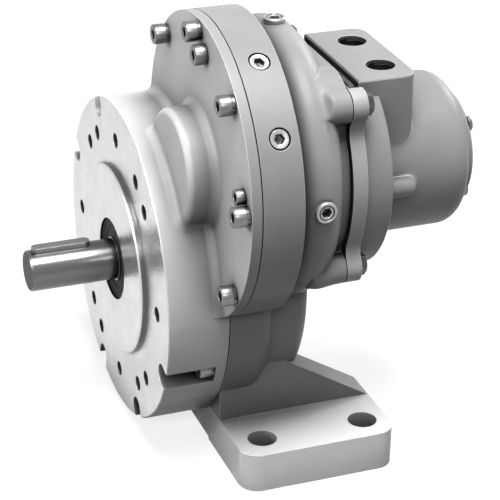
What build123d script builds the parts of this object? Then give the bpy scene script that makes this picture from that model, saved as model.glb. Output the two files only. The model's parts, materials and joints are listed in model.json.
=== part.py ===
from build123d import *
import os
from math import acos, cos, pi, radians, sin, sqrt, tan

os.makedirs("parts", exist_ok=True)

# Geared air vane motor on a foot. Millimetres, +Z up, Y along the shafts with the shaft end towards -Y.
# The origin is the centre of the front mounting face, on the output shaft's axis.

# Gear train; the centre distance of the first pair places the motor's axis
spur_module = 3.5
wheel_teeth = 48
pinion_teeth = 17
planet_module = 2.5
sun_teeth = 18
planet_teeth = 18
ring_teeth = 54
planet_count = 3
first_planet_angle = 90.0
pressure_angle = 20.0
backlash = 0.25
case_angle = 54.0

# Lengths along the shafts that stack up from the mounting face
drum_length = 34.3
plate_thickness = 6.6
gasket_thickness = 0.8
rim_length = 26.6
shoulder_length = 34.2
neck_length = 5.2
adapter_thickness = 9.8
motor_flange_thickness = 18.6
barrel_length = 67.3
end_cap_thickness = 5.0

# Radii and outlines of the castings
drum_radius = 110.0
rim_radius = 98.0
rim_groove = 3.0
shoulder_wall = 11.0
shoulder_rounding = 18.0
body_length = 34.0
body_rounding = 16.0
waist_radius = 102.0
waist_rounding = 14.0
waist_length = 60.0
casting_fillet = 5.5
pilot_radius = 65.0
pilot_height = 4.0
boss_radius = 38.5
boss_front = 15.0
boss_rounding = 4.5

# Foot and legs
shaft_height = 112.0
foot_width = 281.2
foot_depth = 107.2
foot_thickness = 27.0
foot_corner = 13.0
foot_relief = 2.0
relief_width = 114.0
leg_outer = 90.5
leg_thickness = 24.5
leg_slope = 31.4
leg_crest_y = 96.0
leg_crest_z = -52.9
leg_root_z = -40.0
web_thickness = 22.0
foot_hole_radius = 9.7
foot_hole_side_margin = 20.4
foot_hole_front_margin = 18.9
foot_hole_rear_margin = 17.2

# Motor: adapter, flange, barrel and port block
neck_radius = 73.0
neck_rise = 71.6
neck_rounding = 30.0
adapter_radius = 77.1
lobe_radius = 10.5
lobe_fillet = 14.0
adapter_bolt_x = 62.4
adapter_bolt_z = 54.4
flange_flat = 57.0
adapter_drop = 2.4
motor_flange_radius = 72.1
motor_flange_drop = 5.5
barrel_wall = 8.0
barrel_drop = 9.5
barrel_rounding = 13.0
barrel_fillet = 8.0
end_cap_radius = 38.0
rear_opening_radius = 28.0
block_width = 90.0
block_length = 41.0
block_setback = 3.9
block_rise = 62.0
block_corner = 10.0
edge_break = 1.0
port_radius = 9.5
port_spacing = 45.4
port_setback = 24.3
port_thread_depth = 22.0
port_depth = 42.0
passage_radius = 7.5
nub_radius = 7.0
nub_length = 24.7
nub_drop = 1.0

# Output shaft, key and seal
shaft_radius = 14.0
shaft_length = 58.6
shaft_chamfer = 1.0
key_width = 8.0
key_height = 7.0
key_length = 40.0
key_seat_depth = 4.0
key_setback = 3.0
wheel_seat_radius = 19.0
wheel_key_width = 10.0
wheel_key_height = 8.0
wheel_key_seat_depth = 5.0
seal_radius = 28.0
seal_width = 10.0
seal_recess = 1.5
seal_wall = 3.0
seal_lip = 4.0

# Bearings: bore radius, outer radius and width
output_bearing = (15.0, 31.0, 16.0)
pinion_bearing = (12.5, 31.0, 17.0)
carrier_bearing = (20.0, 31.0, 12.0)
rotor_bearing = (10.0, 21.0, 12.0)
race_share = 0.3
ball_play = 0.06
bearing_lip = 5.0

# Running and fitting clearances
running = 0.05
side_play = 0.5
bolt_clearance = 0.5
sheet_inset = 0.3

# Fasteners: thread radius, head radius, head height and hexagon across its flats
cap_screw = (4.0, 6.5, 8.0, 6.0)
small_screw = (3.0, 5.0, 6.0, 5.0)
hex_screw = (4.0, 7.0, 5.5, 13.0)
washer_thickness = 2.0
plug_radius = 7.0
plug_socket = 6.0
plug_depth = 9.0
plug_recess = 0.4
shoulder_plug_height = 4.5

# Places of the fasteners
flange_hole_circle = 86.0
flange_hole_radius = 5.1
flange_hole_depth = 18.0
flange_hole_count = 8
second_hole_angles = (60, 120, 240, 300)
channel_inset = 7.0
channel_radius = 7.25
channel_angles = (-112.5, -67.5, -22.5, 112.5, 157.5)
plate_screw_inset = 7.5
plate_screw_first = -40.0
plate_screw_pitch = 43.0
plate_screw_count = 5
screw_reach = 16.0
vent_inset = 18.0
vent_angle = 81.0
lock_inset = 13.5
lock_angle = 9.8
rim_plug_angles = (30, 60)
rim_plug_setback = 14.3
shoulder_plug_angles = (0, 90)
shoulder_plug_setback = 42.5
motor_screw_circle = 60.0
cap_screw_circle = 32.5
blind_screw_reach = 9.0

# Gears, carrier, rotor and vane chamber
wheel_front = 43.0
wheel_width = 22.0
wheel_web_depth = 6.0
wheel_rim_wall = 12.0
wheel_hub_wall = 9.0
case_wall = 18.0
rim_wall = 16.0
drum_wall = 36.0
drum_front_wall = 24.0
ring_gear_front = 72.0
ring_gear_setback = 6.0
ring_gear_width = 18.0
ring_gear_wall = 7.4
planet_width = 16.0
planet_pin_radius = 6.0
carrier_disc = 5.0
carrier_radius = 57.0
carrier_post_radius = 9.0
spigot_radius = 15.0
collar_radius = 17.5
liner_radius = 43.0
liner_wall = 5.0
end_plate_thickness = 14.0
rotor_length = 50.0
rotor_gap = 0.3
vane_count = 5
vane_thickness = 4.0
vane_depth = 15.0
air_slot_radius = 6.0
motor_seal_radius = 17.0
motor_seal_width = 7.0

# Stations along Y worked out from the lengths
plate_front = drum_length
plate_back = plate_front + plate_thickness
case_front = plate_back + gasket_thickness
rim_back = case_front + rim_length
shoulder_back = rim_back + shoulder_length
neck_back = shoulder_back + neck_length
adapter_front = neck_back + gasket_thickness
adapter_back = adapter_front + adapter_thickness
motor_front = adapter_back + gasket_thickness
flange_back = motor_front + motor_flange_thickness
barrel_back = flange_back + barrel_length
body_back = case_front + body_length
waist_back = case_front + waist_length
shaft_tip = -pilot_height - shaft_length
seal_front = -pilot_height + seal_recess
seal_back = seal_front + seal_width
front_bearing = seal_back + 1.5
wheel_back = wheel_front + wheel_width
rear_bearing = ring_gear_front
boss_bearing = boss_front + 7.5
ring_gear_back = ring_gear_front + ring_gear_width
case_cavity_back = ring_gear_front - ring_gear_setback
planet_front = ring_gear_front + (ring_gear_width - planet_width) / 2
planet_back = planet_front + planet_width
carrier_front = planet_front - side_play - carrier_disc
carrier_back = planet_back + side_play + carrier_disc
hub_bearing = neck_back - carrier_bearing[2] - side_play
hub_wall = (carrier_back + hub_bearing) / 2
chamber_front = motor_front + end_plate_thickness
chamber_back = chamber_front + rotor_length + 2 * rotor_gap
bore_back = chamber_back + end_plate_thickness

# Axes of the two shafts and heights of the motor's castings
centre_distance = spur_module * (wheel_teeth + pinion_teeth) / 2
motor_x = centre_distance * cos(radians(case_angle))
motor_z = centre_distance * sin(radians(case_angle))
motor_flange_z = motor_z - motor_flange_drop
barrel_z = motor_z - barrel_drop
block_top = motor_z + block_rise
block_front = motor_front + block_setback
port_y = block_front + port_setback
output_axis = Axis((0, 0, 0), (0, 1, 0))
motor_axis = Axis((motor_x, 0, motor_z), (0, 1, 0))
barrel_axis = Axis((motor_x, 0, barrel_z), (0, 1, 0))

# Sizes that follow from the gears and the chamber
ring_gear_radius = planet_module * ring_teeth / 2 + 1.25 * planet_module + ring_gear_wall
shoulder_radius = ring_gear_radius + shoulder_wall
shoulder_plug_reach = shoulder_wall - 2
barrel_radius = liner_radius + barrel_wall
plate_screw_circle = rim_radius - plate_screw_inset
vent_circle = rim_radius - vent_inset
lock_circle = rim_radius - lock_inset
channel_circle = drum_radius - channel_inset
planet_circle = planet_module * (sun_teeth + planet_teeth) / 2
planet_angles = [first_planet_angle + 360 / planet_count * i for i in range(planet_count)]
post_angles = [angle + 180 / planet_count for angle in planet_angles]
chamber_radius = liner_radius - liner_wall
rotor_radius = chamber_radius - barrel_drop - rotor_gap
foot_top = foot_thickness - shaft_height
leg_mid = leg_outer - leg_thickness / 2
foot_pad_width = (foot_width - relief_width) / 2
foot_pad_mid = (foot_width + relief_width) / 4
foot_hole_spacing_x = foot_width - 2 * foot_hole_side_margin
foot_hole_spacing_y = foot_depth - foot_hole_front_margin - foot_hole_rear_margin
slope = tan(radians(leg_slope))
rim_plug_y = case_front + rim_plug_setback
shoulder_plug_y = case_front + shoulder_plug_setback


def face_plane(y, x=0.0, z=0.0):
    """Plane across the shafts at depth y, seen from the front: local x to the right, local y up."""
    return Plane(origin=(x, y, z), x_dir=(1, 0, 0), z_dir=(0, -1, 0))


def turning_plane(x=0.0, z=0.0):
    """Plane through a shaft's axis: local x runs to the rear, local y is the radius."""
    return Plane(origin=(x, 0, z), x_dir=(0, 1, 0), z_dir=(1, 0, 0))


def radial_plane(distance, angle, y):
    """Plane that faces outwards from the motor's axis, at a distance from it."""
    outward = (cos(radians(angle)), 0, sin(radians(angle)))
    origin = (motor_x + distance * outward[0], y, motor_z + distance * outward[2])
    return Plane(origin=origin, x_dir=(0, 1, 0), z_dir=outward)


def circle_places(circle, angles, x=0.0, z=0.0):
    """Centres on a circle across the shafts, as X and Z."""
    return [(x + circle * cos(radians(a)), z + circle * sin(radians(a))) for a in angles]


def from_motor_axis(edge):
    """Distance of an edge's middle from the motor's axis."""
    middle = edge.position_at(0.5)
    return sqrt((middle.X - motor_x) ** 2 + (middle.Z - motor_z) ** 2)


def stepped_profile(stations, inner=0.0):
    """Half section of a turned piece from (start, end, radius) steps over one inner radius."""
    points = [(stations[0][0], inner)]
    for start, end, radius in stations:
        points += [(start, radius), (end, radius)]
    points.append((stations[-1][1], inner))
    with BuildLine() as outline:
        Polyline(*points, close=True)
    make_face(outline.edges())


def rounded_profile(front, back, radius, rounding):
    """Half section of a turned casting with a rounded rear edge."""
    with BuildLine() as outline:
        Polyline((back, radius - rounding), (back, 0), (front, 0), (front, radius), (back - rounding, radius))
        RadiusArc((back - rounding, radius), (back, radius - rounding), rounding)
    make_face(outline.edges())


def involute(angle):
    """Involute function of a pressure angle in radians."""
    return tan(angle) - angle


def tooth_points(teeth, module, tip, root, thicken):
    """Corner points of one involute tooth on local +x, up one flank and down the other."""
    pitch = module * teeth / 2
    base = pitch * cos(radians(pressure_angle))
    half = (pi / 2 + thicken / module) / teeth + involute(radians(pressure_angle))
    flank = []
    for radius in (max(base, root), pitch, tip):
        flank.append((radius, half - involute(acos(min(1.0, base / radius)))))
    flank.insert(0, (min(base, root) - 0.1 * module, flank[0][1]))
    rising = [(radius * cos(angle), radius * sin(angle)) for radius, angle in flank]
    falling = [(x, -y) for x, y in reversed(rising)]
    return rising + falling


def toothed_face(teeth, module, first_angle, tip, root, thicken):
    """Toothed disc: a root circle with one tooth on each pitch."""
    Circle(root)
    with BuildLine(mode=Mode.PRIVATE) as tooth:
        Polyline(*tooth_points(teeth, module, tip, root, thicken), close=True)
    with PolarLocations(0, teeth, start_angle=first_angle):
        add(make_face(tooth.edges(), mode=Mode.PRIVATE))


def write(part, name):
    """Label a finished piece and write it under its own name."""
    part.part.label = name
    export_step(part.part, f"parts/{name}.step")


def ball_bearings(name, size, starts, x, z, balls):
    """Ball bearings of one size on one axis: outer races, inner races and balls."""
    bore, outside, width = size
    race = race_share * (outside - bore)
    middle = (bore + outside) / 2
    ball = (outside - bore - 1.1 * race) / 2
    axis = Axis((x, 0, z), (0, 1, 0))
    for part_name, race_middle in (("outer_race", outside - race / 2), ("inner_race", bore + race / 2)):
        with BuildPart() as races:
            for start in starts:
                with BuildSketch(turning_plane(x, z)):
                    with Locations((start + width / 2, race_middle)):
                        Rectangle(width, race)
                    with Locations((start + width / 2, middle)):
                        Circle(ball + ball_play, mode=Mode.SUBTRACT)
                revolve(axis=axis)
        write(races, f"{name}_{part_name}")
    with BuildPart() as rolling:
        for start in starts:
            for ball_x, ball_z in circle_places(middle, [360 / balls * i for i in range(balls)], x, z):
                with Locations((ball_x, start + width / 2, ball_z)):
                    Sphere(ball)
    write(rolling, f"{name}_balls")


def socket_screws(name, size, places, seat, reach):
    """Socket head screws with the undersides of their heads at depth seat, pointing to the rear."""
    thread, head, height, flats = size
    with BuildPart() as screws:
        with BuildSketch(face_plane(seat)):
            with Locations(*places):
                Circle(thread)
        extrude(amount=-reach)
        with BuildSketch(face_plane(seat - height)):
            with Locations(*places):
                Circle(head)
        extrude(amount=-height)
        with BuildSketch(face_plane(seat - height)):
            with Locations(*places):
                RegularPolygon(flats / 2, 6, major_radius=False)
        extrude(amount=-height / 2, mode=Mode.SUBTRACT)
    write(screws, name)


def spring_washers(name, size, places, seat):
    """Split spring washers under screw heads, lying on a seat at depth seat."""
    thread, head = size[:2]
    with BuildPart() as washers:
        with BuildSketch(face_plane(seat)):
            with Locations(*places):
                Circle(head - sheet_inset)
                Circle(thread, mode=Mode.SUBTRACT)
            with Locations(*[(x + head, z) for x, z in places]):
                Rectangle(head, 1.0, mode=Mode.SUBTRACT)
        extrude(amount=washer_thickness)
    write(washers, name)


def socket_plugs(name, angles, distance, y, depth):
    """Radial socket plugs round the motor's axis, with their outer faces at a distance from it."""
    with BuildPart() as plugs:
        for angle in angles:
            with BuildSketch(radial_plane(distance, angle, y)):
                Circle(plug_radius)
            extrude(amount=-depth)
            with BuildSketch(radial_plane(distance, angle, y)):
                RegularPolygon(plug_socket / 2, 6, major_radius=False)
            extrude(amount=-depth / 2, mode=Mode.SUBTRACT)
    write(plugs, name)


def case_outline(inset=0.0):
    """Joint outline of the gear case: the drum's circle joined with the rim's circle."""
    Circle(drum_radius - inset)
    with Locations((motor_x, motor_z)):
        Circle(rim_radius - inset)


def motor_outline(inset=0.0):
    """Outline of the motor's flange: a circle with a flat top."""
    with Locations((motor_x, motor_flange_z)):
        Circle(motor_flange_radius - inset)
    with Locations((motor_x, motor_z + flange_flat - inset + motor_flange_radius)):
        Rectangle(2 * motor_flange_radius, 2 * motor_flange_radius, mode=Mode.SUBTRACT)


def neck_outline(inset=0.0):
    """Outline of the neck: a circle, an arched top and four bolt lobes at the corners."""
    half_width = adapter_bolt_x + lobe_radius - inset
    with BuildSketch(mode=Mode.PRIVATE) as outline:
        with Locations((0, (neck_rise - inset) / 2)):
            arch = Rectangle(2 * half_width, neck_rise - inset)
        fillet(arch.vertices().group_by(Axis.Y)[-1], neck_rounding)
        with Locations((0, adapter_bolt_z / 2)):
            Rectangle(3 * half_width, adapter_bolt_z, mode=Mode.SUBTRACT)
        Rectangle(2 * adapter_bolt_x, 2 * adapter_bolt_z)
        with Locations((0, -adapter_drop)):
            Circle(neck_radius - inset)
        with GridLocations(2 * adapter_bolt_x, 2 * adapter_bolt_z, 2, 2):
            Circle(lobe_radius - inset)
    add(outline.sketch)


def adapter_outline():
    """Outline of the adapter: a circle with a flat top and four bolt lobes that run into it."""
    with BuildSketch(mode=Mode.PRIVATE) as outline:
        with Locations((0, -adapter_drop)):
            Circle(adapter_radius)
        with Locations((0, flange_flat + adapter_radius)):
            Rectangle(2 * adapter_radius, 2 * adapter_radius, mode=Mode.SUBTRACT)
        with Locations((0, flange_flat / 2)):
            Rectangle(2 * (adapter_bolt_x - 0.8 * lobe_radius), flange_flat)
        with GridLocations(2 * adapter_bolt_x, 2 * adapter_bolt_z, 2, 2):
            Circle(lobe_radius)
        corners = outline.vertices()
        on_circle = [v for v in corners if abs(sqrt(v.X**2 + (v.Y + adapter_drop) ** 2) - adapter_radius) < 0.1]
        fillet(on_circle, lobe_fillet)
        fillet([v for v in outline.vertices() if abs(v.Y - flange_flat) < 0.1], lobe_radius / 2)
    add(outline.sketch)


plate_screw_angles = [plate_screw_first + plate_screw_pitch * i for i in range(plate_screw_count)]
plate_screw_places = circle_places(plate_screw_circle, plate_screw_angles, motor_x, motor_z)
channel_places = circle_places(channel_circle, channel_angles)
flange_angles = [360 / flange_hole_count * i for i in range(flange_hole_count)]
flange_hole_places = circle_places(flange_hole_circle, flange_angles + list(second_hole_angles))
vent_place = circle_places(vent_circle, [vent_angle], motor_x, motor_z)
lock_place = circle_places(lock_circle, [lock_angle], motor_x, motor_z)
motor_screw_places = circle_places(motor_screw_circle, [45, 135, 225, 315], motor_x, motor_flange_z)
cap_screw_places = circle_places(cap_screw_circle, [45, 135, 225, 315], motor_x, barrel_z)
bolt_grid = [(x, z) for x in (-adapter_bolt_x, adapter_bolt_x) for z in (-adapter_bolt_z, adapter_bolt_z)]
adapter_places = [(motor_x + x, motor_z + z) for x, z in bolt_grid]

# Front housing: mounting flange, drum, plate and the round boss of the pinion's bearing, one casting
with BuildPart() as front_housing:
    with BuildSketch(face_plane(0)):
        Circle(drum_radius)
    extrude(amount=-plate_back)
    chamfer(front_housing.edges().group_by(Axis.Y)[0], edge_break)
    with BuildSketch(face_plane(plate_front, motor_x, motor_z)):
        Circle(rim_radius)
    extrude(amount=-plate_thickness)
    with BuildSketch(face_plane(boss_front, motor_x, motor_z)):
        Circle(boss_radius)
    extrude(amount=boss_front - plate_back + plate_thickness / 2)
    # cast roundings: the boss's front edge, then the roots of drum and boss
    front_edges = front_housing.edges().filter_by_position(Axis.Y, boss_front - 0.1, boss_front + 0.1)
    fillet([e for e in front_edges if e.geom_type == GeomType.CIRCLE and e.radius < rim_radius / 2], boss_rounding)
    roots = front_housing.edges().filter_by_position(Axis.Y, boss_front + 1, plate_front + 0.1)
    fillet([e for e in roots if from_motor_axis(e) < rim_radius - 1], casting_fillet)
    with BuildSketch(face_plane(-pilot_height)):
        Circle(pilot_radius)
    extrude(amount=-pilot_height)
    chamfer(front_housing.edges().group_by(Axis.Y)[0], edge_break)
    # cored space behind the flange, round the tube that holds the front bearing
    with BuildSketch(turning_plane()):
        stepped_profile([(drum_front_wall, plate_back, drum_radius - drum_wall)])
    revolve(axis=output_axis, mode=Mode.SUBTRACT)
    with BuildSketch(turning_plane()):
        stepped_profile([(drum_front_wall, front_bearing + output_bearing[2] + 3, output_bearing[1] + 6)])
    revolve(axis=output_axis)
    with BuildSketch(turning_plane()):
        stepped_profile(
            [
                (-pilot_height, seal_back, seal_radius),
                (seal_back, front_bearing, output_bearing[1] - bearing_lip),
                (front_bearing, plate_back, output_bearing[1]),
            ]
        )
    revolve(axis=output_axis, mode=Mode.SUBTRACT)
    with BuildSketch(turning_plane(motor_x, motor_z)):
        stepped_profile([(boss_bearing - side_play, plate_back, pinion_bearing[1])])
    revolve(axis=motor_axis, mode=Mode.SUBTRACT)
    # tapped holes in the mounting face
    with BuildSketch(face_plane(0)):
        with Locations(*flange_hole_places):
            Circle(flange_hole_radius)
    extrude(amount=-flange_hole_depth, mode=Mode.SUBTRACT)
    # screw channels in the drum's rim
    for angle in channel_angles:
        direction = (cos(radians(angle)), 0, sin(radians(angle)))
        with BuildSketch(Plane(origin=(0, 0, 0), x_dir=direction, z_dir=(0, -1, 0))):
            with Locations((channel_circle, 0)):
                Circle(channel_radius)
            with Locations((channel_circle + channel_radius, 0)):
                Rectangle(2 * channel_radius, 2 * channel_radius)
        extrude(amount=-drum_length, mode=Mode.SUBTRACT)
    # holes through the plate
    with BuildSketch(face_plane(plate_front)):
        with Locations(*plate_screw_places, *channel_places):
            Circle(cap_screw[0] + bolt_clearance)
        with Locations(*vent_place):
            Circle(cap_screw[0])
        with Locations(*lock_place):
            Circle(small_screw[0])
    extrude(amount=-plate_thickness, mode=Mode.SUBTRACT)
write(front_housing, "front_housing")

# Case gasket: a thin sheet cut to the joint's outline
with BuildPart() as case_gasket:
    with BuildSketch(face_plane(plate_back)):
        case_outline(inset=sheet_inset)
        Circle(drum_radius - case_wall, mode=Mode.SUBTRACT)
        with Locations((motor_x, motor_z)):
            Circle(rim_radius - rim_wall, mode=Mode.SUBTRACT)
        with Locations(*plate_screw_places, *channel_places):
            Circle(cap_screw[0] + bolt_clearance, mode=Mode.SUBTRACT)
    extrude(amount=-gasket_thickness)
write(case_gasket, "case_gasket")

# Gear case: rim, shoulder, neck, drum body, waist, legs and foot, one casting
with BuildPart() as gear_case:
    # rim and rounded shoulder, turned about the motor's axis
    with BuildSketch(turning_plane(motor_x, motor_z)):
        rounded_profile(case_front, shoulder_back, shoulder_radius, shoulder_rounding)
    revolve(axis=motor_axis)
    with BuildSketch(turning_plane(motor_x, motor_z)):
        with BuildLine():
            Polyline(
                (rim_back + rim_groove, shoulder_radius),
                (rim_back + rim_groove, 0),
                (case_front, 0),
                (case_front, rim_radius),
                (rim_back, rim_radius),
                (rim_back, shoulder_radius + rim_groove),
            )
            RadiusArc(
                (rim_back, shoulder_radius + rim_groove),
                (rim_back + rim_groove, shoulder_radius),
                -rim_groove,
            )
        make_face()
    revolve(axis=motor_axis)
    # drum body and waist, turned about the output axis
    with BuildSketch(turning_plane()):
        rounded_profile(case_front, body_back, drum_radius, body_rounding)
    revolve(axis=output_axis)
    with BuildSketch(turning_plane()):
        rounded_profile(case_front, waist_back, waist_radius, waist_rounding)
    revolve(axis=output_axis)
    # neck, with columns for the adapter's screws
    with BuildSketch(face_plane(neck_back, motor_x, motor_z)):
        neck_outline()
    extrude(amount=neck_back - shoulder_back + shoulder_rounding)
    # legs with their sloping rear edge, foot pads and the web that joins the legs at the front
    for side in (-1, 1):
        with BuildSketch(Plane(origin=(side * leg_mid, 0, 0), x_dir=(0, 1, 0), z_dir=(1, 0, 0))):
            with BuildLine():
                Polyline(
                    (case_front, foot_top - foot_relief),
                    (case_front, leg_root_z),
                    (leg_crest_y - (leg_root_z - leg_crest_z) / slope, leg_root_z),
                    (leg_crest_y + (leg_crest_z - foot_top) / slope, foot_top),
                    (leg_crest_y + (leg_crest_z - foot_top) / slope, foot_top - foot_relief),
                    close=True,
                )
            make_face()
        extrude(amount=leg_thickness / 2, both=True)
        with BuildSketch(Plane.XY.offset(-shaft_height)):
            with Locations((side * foot_pad_mid, case_front + foot_depth / 2)):
                pad = Rectangle(foot_pad_width, foot_depth)
            inner_front = Vector(side * relief_width / 2, case_front, -shaft_height)
            corners = [v for v in pad.vertices() if (Vector(v.X, v.Y, v.Z) - inner_front).length > 1]
            fillet(corners, foot_corner)
        extrude(amount=foot_thickness)
    with BuildSketch(face_plane(case_front)):
        with Locations((0, (leg_root_z - shaft_height + foot_relief) / 2)):
            Rectangle(2 * leg_mid, leg_root_z + shaft_height - foot_relief)
    extrude(amount=-web_thickness)
    # cored gear space, seat of the ring gear and bores of the two rear bearings
    with BuildSketch(turning_plane()):
        stepped_profile(
            [
                (case_front, case_cavity_back, drum_radius - case_wall),
                (case_cavity_back, rear_bearing + output_bearing[2] + 2, output_bearing[1]),
            ]
        )
    revolve(axis=output_axis, mode=Mode.SUBTRACT)
    with BuildSketch(turning_plane(motor_x, motor_z)):
        stepped_profile(
            [
                (case_front, case_cavity_back, rim_radius - rim_wall),
                (case_cavity_back, ring_gear_back, ring_gear_radius),
                (ring_gear_back, hub_wall, carrier_radius + 4),
                (hub_wall, neck_back, carrier_bearing[1]),
            ]
        )
    revolve(axis=motor_axis, mode=Mode.SUBTRACT)
    # tapped holes for the housing's screws and for the adapter's screws
    with BuildSketch(face_plane(case_front)):
        with Locations(*plate_screw_places, *channel_places):
            Circle(cap_screw[0])
    extrude(amount=-screw_reach, mode=Mode.SUBTRACT)
    with BuildSketch(face_plane(neck_back)):
        with Locations(*adapter_places):
            Circle(hex_screw[0])
    extrude(amount=screw_reach, mode=Mode.SUBTRACT)
    # holes through the foot
    with BuildSketch(Plane.XY.offset(foot_top)):
        with Locations((0, case_front + foot_hole_front_margin + foot_hole_spacing_y / 2)):
            with GridLocations(foot_hole_spacing_x, foot_hole_spacing_y, 2, 2):
                Circle(foot_hole_radius)
    extrude(amount=-foot_thickness, mode=Mode.SUBTRACT)
    # tapped holes of the socket plugs in rim and shoulder
    for angle in rim_plug_angles:
        with BuildSketch(radial_plane(rim_radius, angle, rim_plug_y)):
            Circle(plug_radius)
        extrude(amount=-plug_depth, mode=Mode.SUBTRACT)
    for angle in shoulder_plug_angles:
        with BuildSketch(radial_plane(shoulder_radius + shoulder_plug_height, angle, shoulder_plug_y)):
            Circle(plug_radius)
        extrude(amount=-shoulder_plug_height - shoulder_plug_reach, mode=Mode.SUBTRACT)
write(gear_case, "gear_case")

# Socket plugs: flush in the rim, proud on the shoulder
socket_plugs("rim_plugs", rim_plug_angles, rim_radius - plug_recess, rim_plug_y, plug_depth - plug_recess)
socket_plugs(
    "shoulder_plugs",
    shoulder_plug_angles,
    shoulder_radius + shoulder_plug_height,
    shoulder_plug_y,
    shoulder_plug_height + shoulder_plug_reach,
)

# Screws and washers of the front housing
head_seat = plate_front - washer_thickness
plate_screw_length = washer_thickness + plate_thickness + gasket_thickness + screw_reach - 1
socket_screws("plate_screws", cap_screw, plate_screw_places, head_seat, plate_screw_length)
spring_washers("plate_washers", cap_screw, plate_screw_places, plate_front)
socket_screws("channel_screws", cap_screw, channel_places, head_seat, plate_screw_length)
spring_washers("channel_washers", cap_screw, channel_places, plate_front)
socket_screws("locking_screw", small_screw, lock_place, plate_front, plate_thickness)
socket_screws("vent_plug", cap_screw, vent_place, plate_front, plate_thickness)

# Neck gasket, cut to the neck's outline
with BuildPart() as neck_gasket:
    with BuildSketch(face_plane(neck_back, motor_x, motor_z)):
        neck_outline(sheet_inset)
        Circle(motor_seal_radius, mode=Mode.SUBTRACT)
        with GridLocations(2 * adapter_bolt_x, 2 * adapter_bolt_z, 2, 2):
            Circle(hex_screw[0] + bolt_clearance, mode=Mode.SUBTRACT)
    extrude(amount=-gasket_thickness)
    with BuildSketch(face_plane(neck_back)):
        with Locations(*motor_screw_places):
            Circle(small_screw[1] + bolt_clearance / 2)
    extrude(amount=-gasket_thickness, mode=Mode.SUBTRACT)
write(neck_gasket, "neck_gasket")

# Adapter plate, counterbored at the front for the motor's screws
with BuildPart() as adapter_plate:
    with BuildSketch(face_plane(adapter_front, motor_x, motor_z)):
        adapter_outline()
        Circle(motor_seal_radius, mode=Mode.SUBTRACT)
        with GridLocations(2 * adapter_bolt_x, 2 * adapter_bolt_z, 2, 2):
            Circle(hex_screw[0] + bolt_clearance, mode=Mode.SUBTRACT)
    extrude(amount=-adapter_thickness)
    for radius, depth in ((small_screw[0], adapter_thickness), (small_screw[1] + bolt_clearance / 2, small_screw[2])):
        with BuildSketch(face_plane(adapter_front)):
            with Locations(*motor_screw_places):
                Circle(radius)
        extrude(amount=-depth, mode=Mode.SUBTRACT)
write(adapter_plate, "adapter_plate")

# Hexagon head screws that clamp the adapter plate to the neck
with BuildPart() as adapter_screws:
    with BuildSketch(face_plane(adapter_back)):
        with Locations(*adapter_places):
            Circle(hex_screw[0])
    extrude(amount=adapter_thickness + gasket_thickness + screw_reach - 1)
    with BuildSketch(face_plane(adapter_back)):
        with Locations(*adapter_places):
            RegularPolygon(hex_screw[3] / 2, 6, major_radius=False)
    extrude(amount=-hex_screw[2])
write(adapter_screws, "adapter_screws")

# Screws that hold the motor's flange, their heads sunk in the adapter's front face
socket_screws(
    "motor_screws",
    small_screw,
    motor_screw_places,
    adapter_front + small_screw[2],
    adapter_thickness - small_screw[2] + gasket_thickness + blind_screw_reach,
)

# Motor gasket: as wide as the motor's flange, open over the chamber's bore
with BuildPart() as motor_gasket:
    with BuildSketch(face_plane(adapter_back)):
        motor_outline(inset=sheet_inset)
        with Locations((motor_x, barrel_z)):
            Circle(liner_radius, mode=Mode.SUBTRACT)
        with Locations(*motor_screw_places):
            Circle(small_screw[0], mode=Mode.SUBTRACT)
    extrude(amount=-gasket_thickness)
write(motor_gasket, "motor_gasket")

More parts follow.
